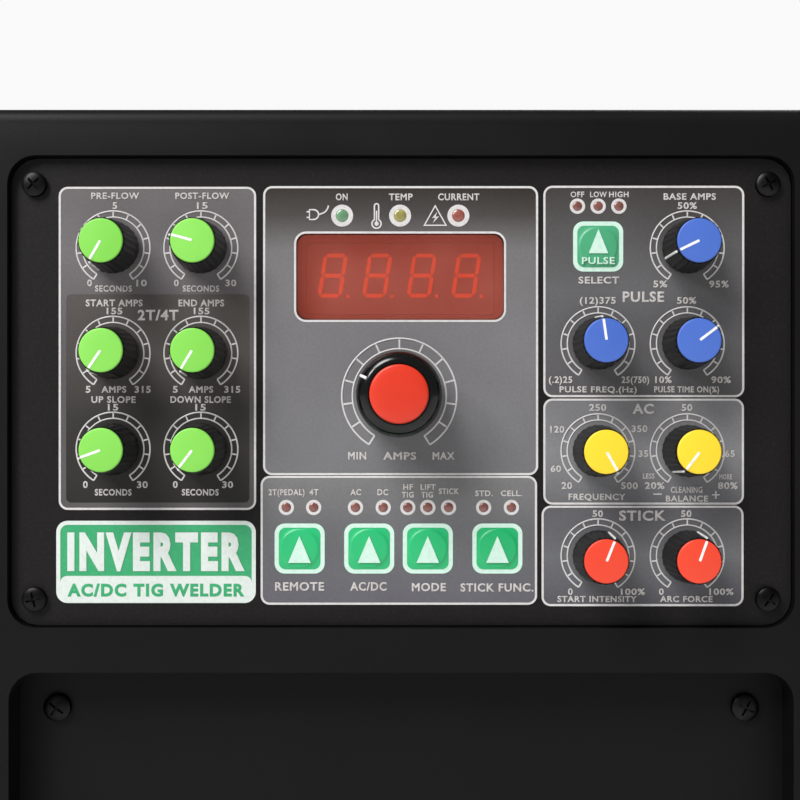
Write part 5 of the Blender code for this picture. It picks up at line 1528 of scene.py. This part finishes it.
# %% Blades
def add_blade(bm, turn):
    """A twisted blade, thin at its tip, sunk a little into the hub."""
    across, along = 10, 12
    sides = []
    for face in (-1, 1):
        grid = []
        for i in range(along + 1):
            out = i / along
            radius = HUB_RADIUS - 1.5 + (BLADE_TIP - HUB_RADIUS + 1.5) * out
            sweep = 20 + 10 * out
            reach = (hub_back - hub_front - 6) / 2 * (1 - 0.3 * out)
            row = []
            for j in range(across + 1):
                lead = -1 + 2 * j / across
                camber = 1.6 * (1 - lead ** 2)
                thick = (1.2 - 0.5 * out) * math.sqrt(max(1 - lead ** 2, 0.02))
                angle = math.radians(turn + lead * sweep / 2)
                y = (hub_front + hub_back) / 2 + lead * reach + camber + face * thick
                row.append(bm.verts.new((radius * math.cos(angle), y, radius * math.sin(angle))))
            grid.append(row)
        sides.append(grid)
    for face, grid in enumerate(sides):
        for i in range(along):
            for j in range(across):
                quad = (grid[i][j], grid[i + 1][j], grid[i + 1][j + 1], grid[i][j + 1])
                bm.faces.new(quad if face else quad[::-1])
    back, front_side = sides
    for i in range(along):
        for j in (0, across):
            bm.faces.new((back[i][j], back[i + 1][j], front_side[i + 1][j], front_side[i][j]))
    for j in range(across):
        for i in (0, along):
            bm.faces.new((back[i][j], back[i][j + 1], front_side[i][j + 1], front_side[i][j]))


for blade in range(BLADES):
    add_blade(rotor_mesh, 360 / BLADES * blade)
rotor = new_piece("fan_rotor_blades", rotor_mesh, Vector((fan_place.x, 0, fan_place.z)), smooth=45)
fix(rotor, "fan", fan_abs, ["fan_rotor"])
dress("fan_frame", fan_abs)

# %% [markdown]
# ## The mains switch
# A lever tips in its housing between an open circle for off and a bar for on, the usual signs. The lever is a
# flat paddle and a barrel on its pivot, joined with a Boolean. It's drawn straight out and then tilted to "off".

# %% Switch
dress("power_switch_body", textured_abs)
pivot = Vector(joint_called("power_switch_tip")["pos_m"])
LEVER_TILT = Matrix.Rotation(math.radians(-25), 4, "X")
paddle = slab([rounded(10, 6.4, 1.2, (0, 0), 4)], 0, 25.6)
lever = new_piece("switch_lever_paddle", paddle, pivot, LEVER_TILT)
barrel = lathe([(0, -6), (7, -6), (7, 6), (0, 6)], 48)
bmesh.ops.rotate(barrel, verts=barrel.verts, matrix=Matrix.Rotation(math.radians(90), 3, "Z"))
carve(lever, barrel, pivot, "UNION")
soften(lever, 0.5, 3)
fix(lever, "power_switch", gloss_nylon, ["power_switch_lever"])
switch_face = Vector((pivot.x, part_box("power_switch_body")[1].y, pivot.z))
switch_marks = slab([rounded(1.2, 5.5, 0.3, (0, 23.5), 2)], -0.06, 0.06)
add_slab(switch_marks, [disc(2.9, (0, -23.5)), disc(1.9, (0, -23.5))], -0.06, 0.06)
fix(new_piece("switch_marks", switch_marks, switch_face), "machine", pale_ink)

# %% [markdown]
# ## Gas valve and cable gland
# The gas comes in through a brass barb on the valve, and the mains cable through a nylon gland whose domed nut
# grips it. Both are turned, and the nut's grooves are cut round it like the notches of the sockets.

# %% Gas valve
valve_tip = Vector((VALVE_X * MM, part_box("gas_solenoid_valve")[1].y, VALVE_Z * MM))
inlet = [(0, -29), (1.8, -29), (1.8, -0.5), (2.1, 0), (2.8, 0), (4.6, -4), (3.6, -4.5), (3.6, -6), (4.6, -10),
         (3.6, -10.5), (3.6, -20.5), (8.4, -21.6), (9.0, -22.2), (9.0, -30.6), (7.0, -30.7), (7.0, -43), (0, -43)]
fix(new_piece("gas_valve_inlet", lathe(inlet, 40), valve_tip), "machine", turned_brass)
dress("gas_solenoid_valve", turned_brass)

# %% Cable gland
GROOVES = 12
gland_at = Vector((gland_place.x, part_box("cable_gland")[1].y, gland_place.z))
nut_body = [(6.5, 0), (9.4, 0), (10.6, -0.6), (13.4, -4.2), (14.0, -5.4), (14.0, -13.4), (14.5, -13.9), (14.6, -14.6),
            (16.2, -14.7), (16.5, -15.2), (16.5, -22.6), (12.0, -22.7), (12.0, -41), (6.5, -41)]
gland = new_piece("cable_gland_nut", lathe(nut_body, 72, closed=True), gland_at)
grooves = bmesh.new()
for i in range(GROOVES):
    t = 2 * math.pi * i / GROOVES
    groove = lathe([(0, -13.2), (1.3, -13.2), (1.3, -4.6), (0, -4.6)], 10)
    bmesh.ops.translate(groove, vec=(14.7 * math.cos(t), 0, 14.7 * math.sin(t)), verts=groove.verts)
    add_shape(grooves, groove)
carve(gland, grooves, gland_at)
fix(gland, "machine", socket_nylon, ["cable_gland"])

# %% [markdown]
# ## Inside
# The power electronics can only be seen through the slots and the fan, so their CAD solids are kept, each in the
# material of the real thing.

# %% Inside
for node, finish in (("control_board", board_mask), ("inverter_board", board_mask), ("heat_sink", extrusion),
                     ("main_transformer", enamelled_wire), ("arc_starter_coil", enamelled_wire)):
    dress(node, finish)

# %% [markdown]
# ## Floor, light and camera
# The machine stands on a plain pale floor under soft light. Two high windows, drawn as suns of a large angle, light
# the floor as evenly far away as near by. A lamp above the front picks out the knobs, and a small one on the left
# makes the gleam on the main knob. The world looks white to the camera but lights only weakly, so that shadows
# keep their depth. The camera looks straight at the panel from about arm's length. It's lower than the middle of
# the panel, so its shift brings the panel to the middle of the picture and keeps the panel's edges upright.

# %% Floor
floor_mesh = bpy.data.meshes.new("floor")
floor_mesh.from_pydata([(-20, -20, 0), (20, -20, 0), (20, 20, 0), (-20, 20, 0)], [], [(0, 1, 2, 3)])
floor = bpy.data.objects.new("floor", floor_mesh)
machine.objects.link(floor)
floor_mesh.materials.append(ink("pale studio floor", "efefed", "ebebe9", 0.8))


# %% Lamps and windows
def soft_lamp(name, place, aim, size, power):
    light = bpy.data.lights.new(name, "AREA")
    light.shape, light.size, light.energy = "DISK", size, power
    lamp = bpy.data.objects.new(name, light)
    lamp.location = place
    lamp.rotation_euler = (Vector(aim) - Vector(place)).to_track_quat("-Z", "Y").to_euler()
    machine.objects.link(lamp)


def skylight(name, towards, softness, power):
    """Even light from far away, as from a high window. towards points at it."""
    light = bpy.data.lights.new(name, "SUN")
    light.angle, light.energy = math.radians(softness), power
    lamp = bpy.data.objects.new(name, light)
    lamp.rotation_euler = (-Vector(towards)).to_track_quat("-Z", "Y").to_euler()
    machine.objects.link(lamp)


# %% Light
skylight("high_window", (-0.45, -0.55, 0.85), 28, 1.95)
skylight("back_window", (0.5, 0.75, 0.55), 40, 1.5)
soft_lamp("key_light", (-0.75, -1.25, 1.7), PANEL_FACE, 0.7, 9)
soft_lamp("left_window", (-0.6, -0.85, 0.82), PANEL_FACE, 0.2, 3)

# %% World
world = bpy.data.worlds.new("studio")
bpy.context.scene.world = world
world.use_nodes = True
room = world.node_tree
behind = room.nodes["Background"]
behind.inputs["Color"].default_value, behind.inputs["Strength"].default_value = linear("ffffff"), 0.95
around = add(room, "ShaderNodeBackground", {"Color": linear("eef1f6"), "Strength": 0.24})
seen = add(room, "ShaderNodeLightPath").outputs["Is Camera Ray"]
both = add(room, "ShaderNodeMixShader", {0: seen, 1: around.outputs["Background"], 2: behind.outputs["Background"]})
room.links.new(both.outputs["Shader"], room.nodes["World Output"].inputs["Surface"])
bpy.context.scene.view_settings.view_transform = "Standard"

# %% Camera
view = bpy.data.cameras.new("panel_view")
view.lens, view.sensor_width = 61.6, 36
view.shift_x, view.shift_y = -0.00625, 0.0338
camera = bpy.data.objects.new("panel_view", view)
camera.location = PANEL_FACE + Vector((1.1, -390, -10)) * MM
camera.rotation_euler = (math.radians(90), 0, 0)
machine.objects.link(camera)
bpy.context.scene.camera = camera
print("camera:", round(PANEL_FACE.y - camera.location.y, 3), "m in front of the panel,", view.lens, "mm lens")
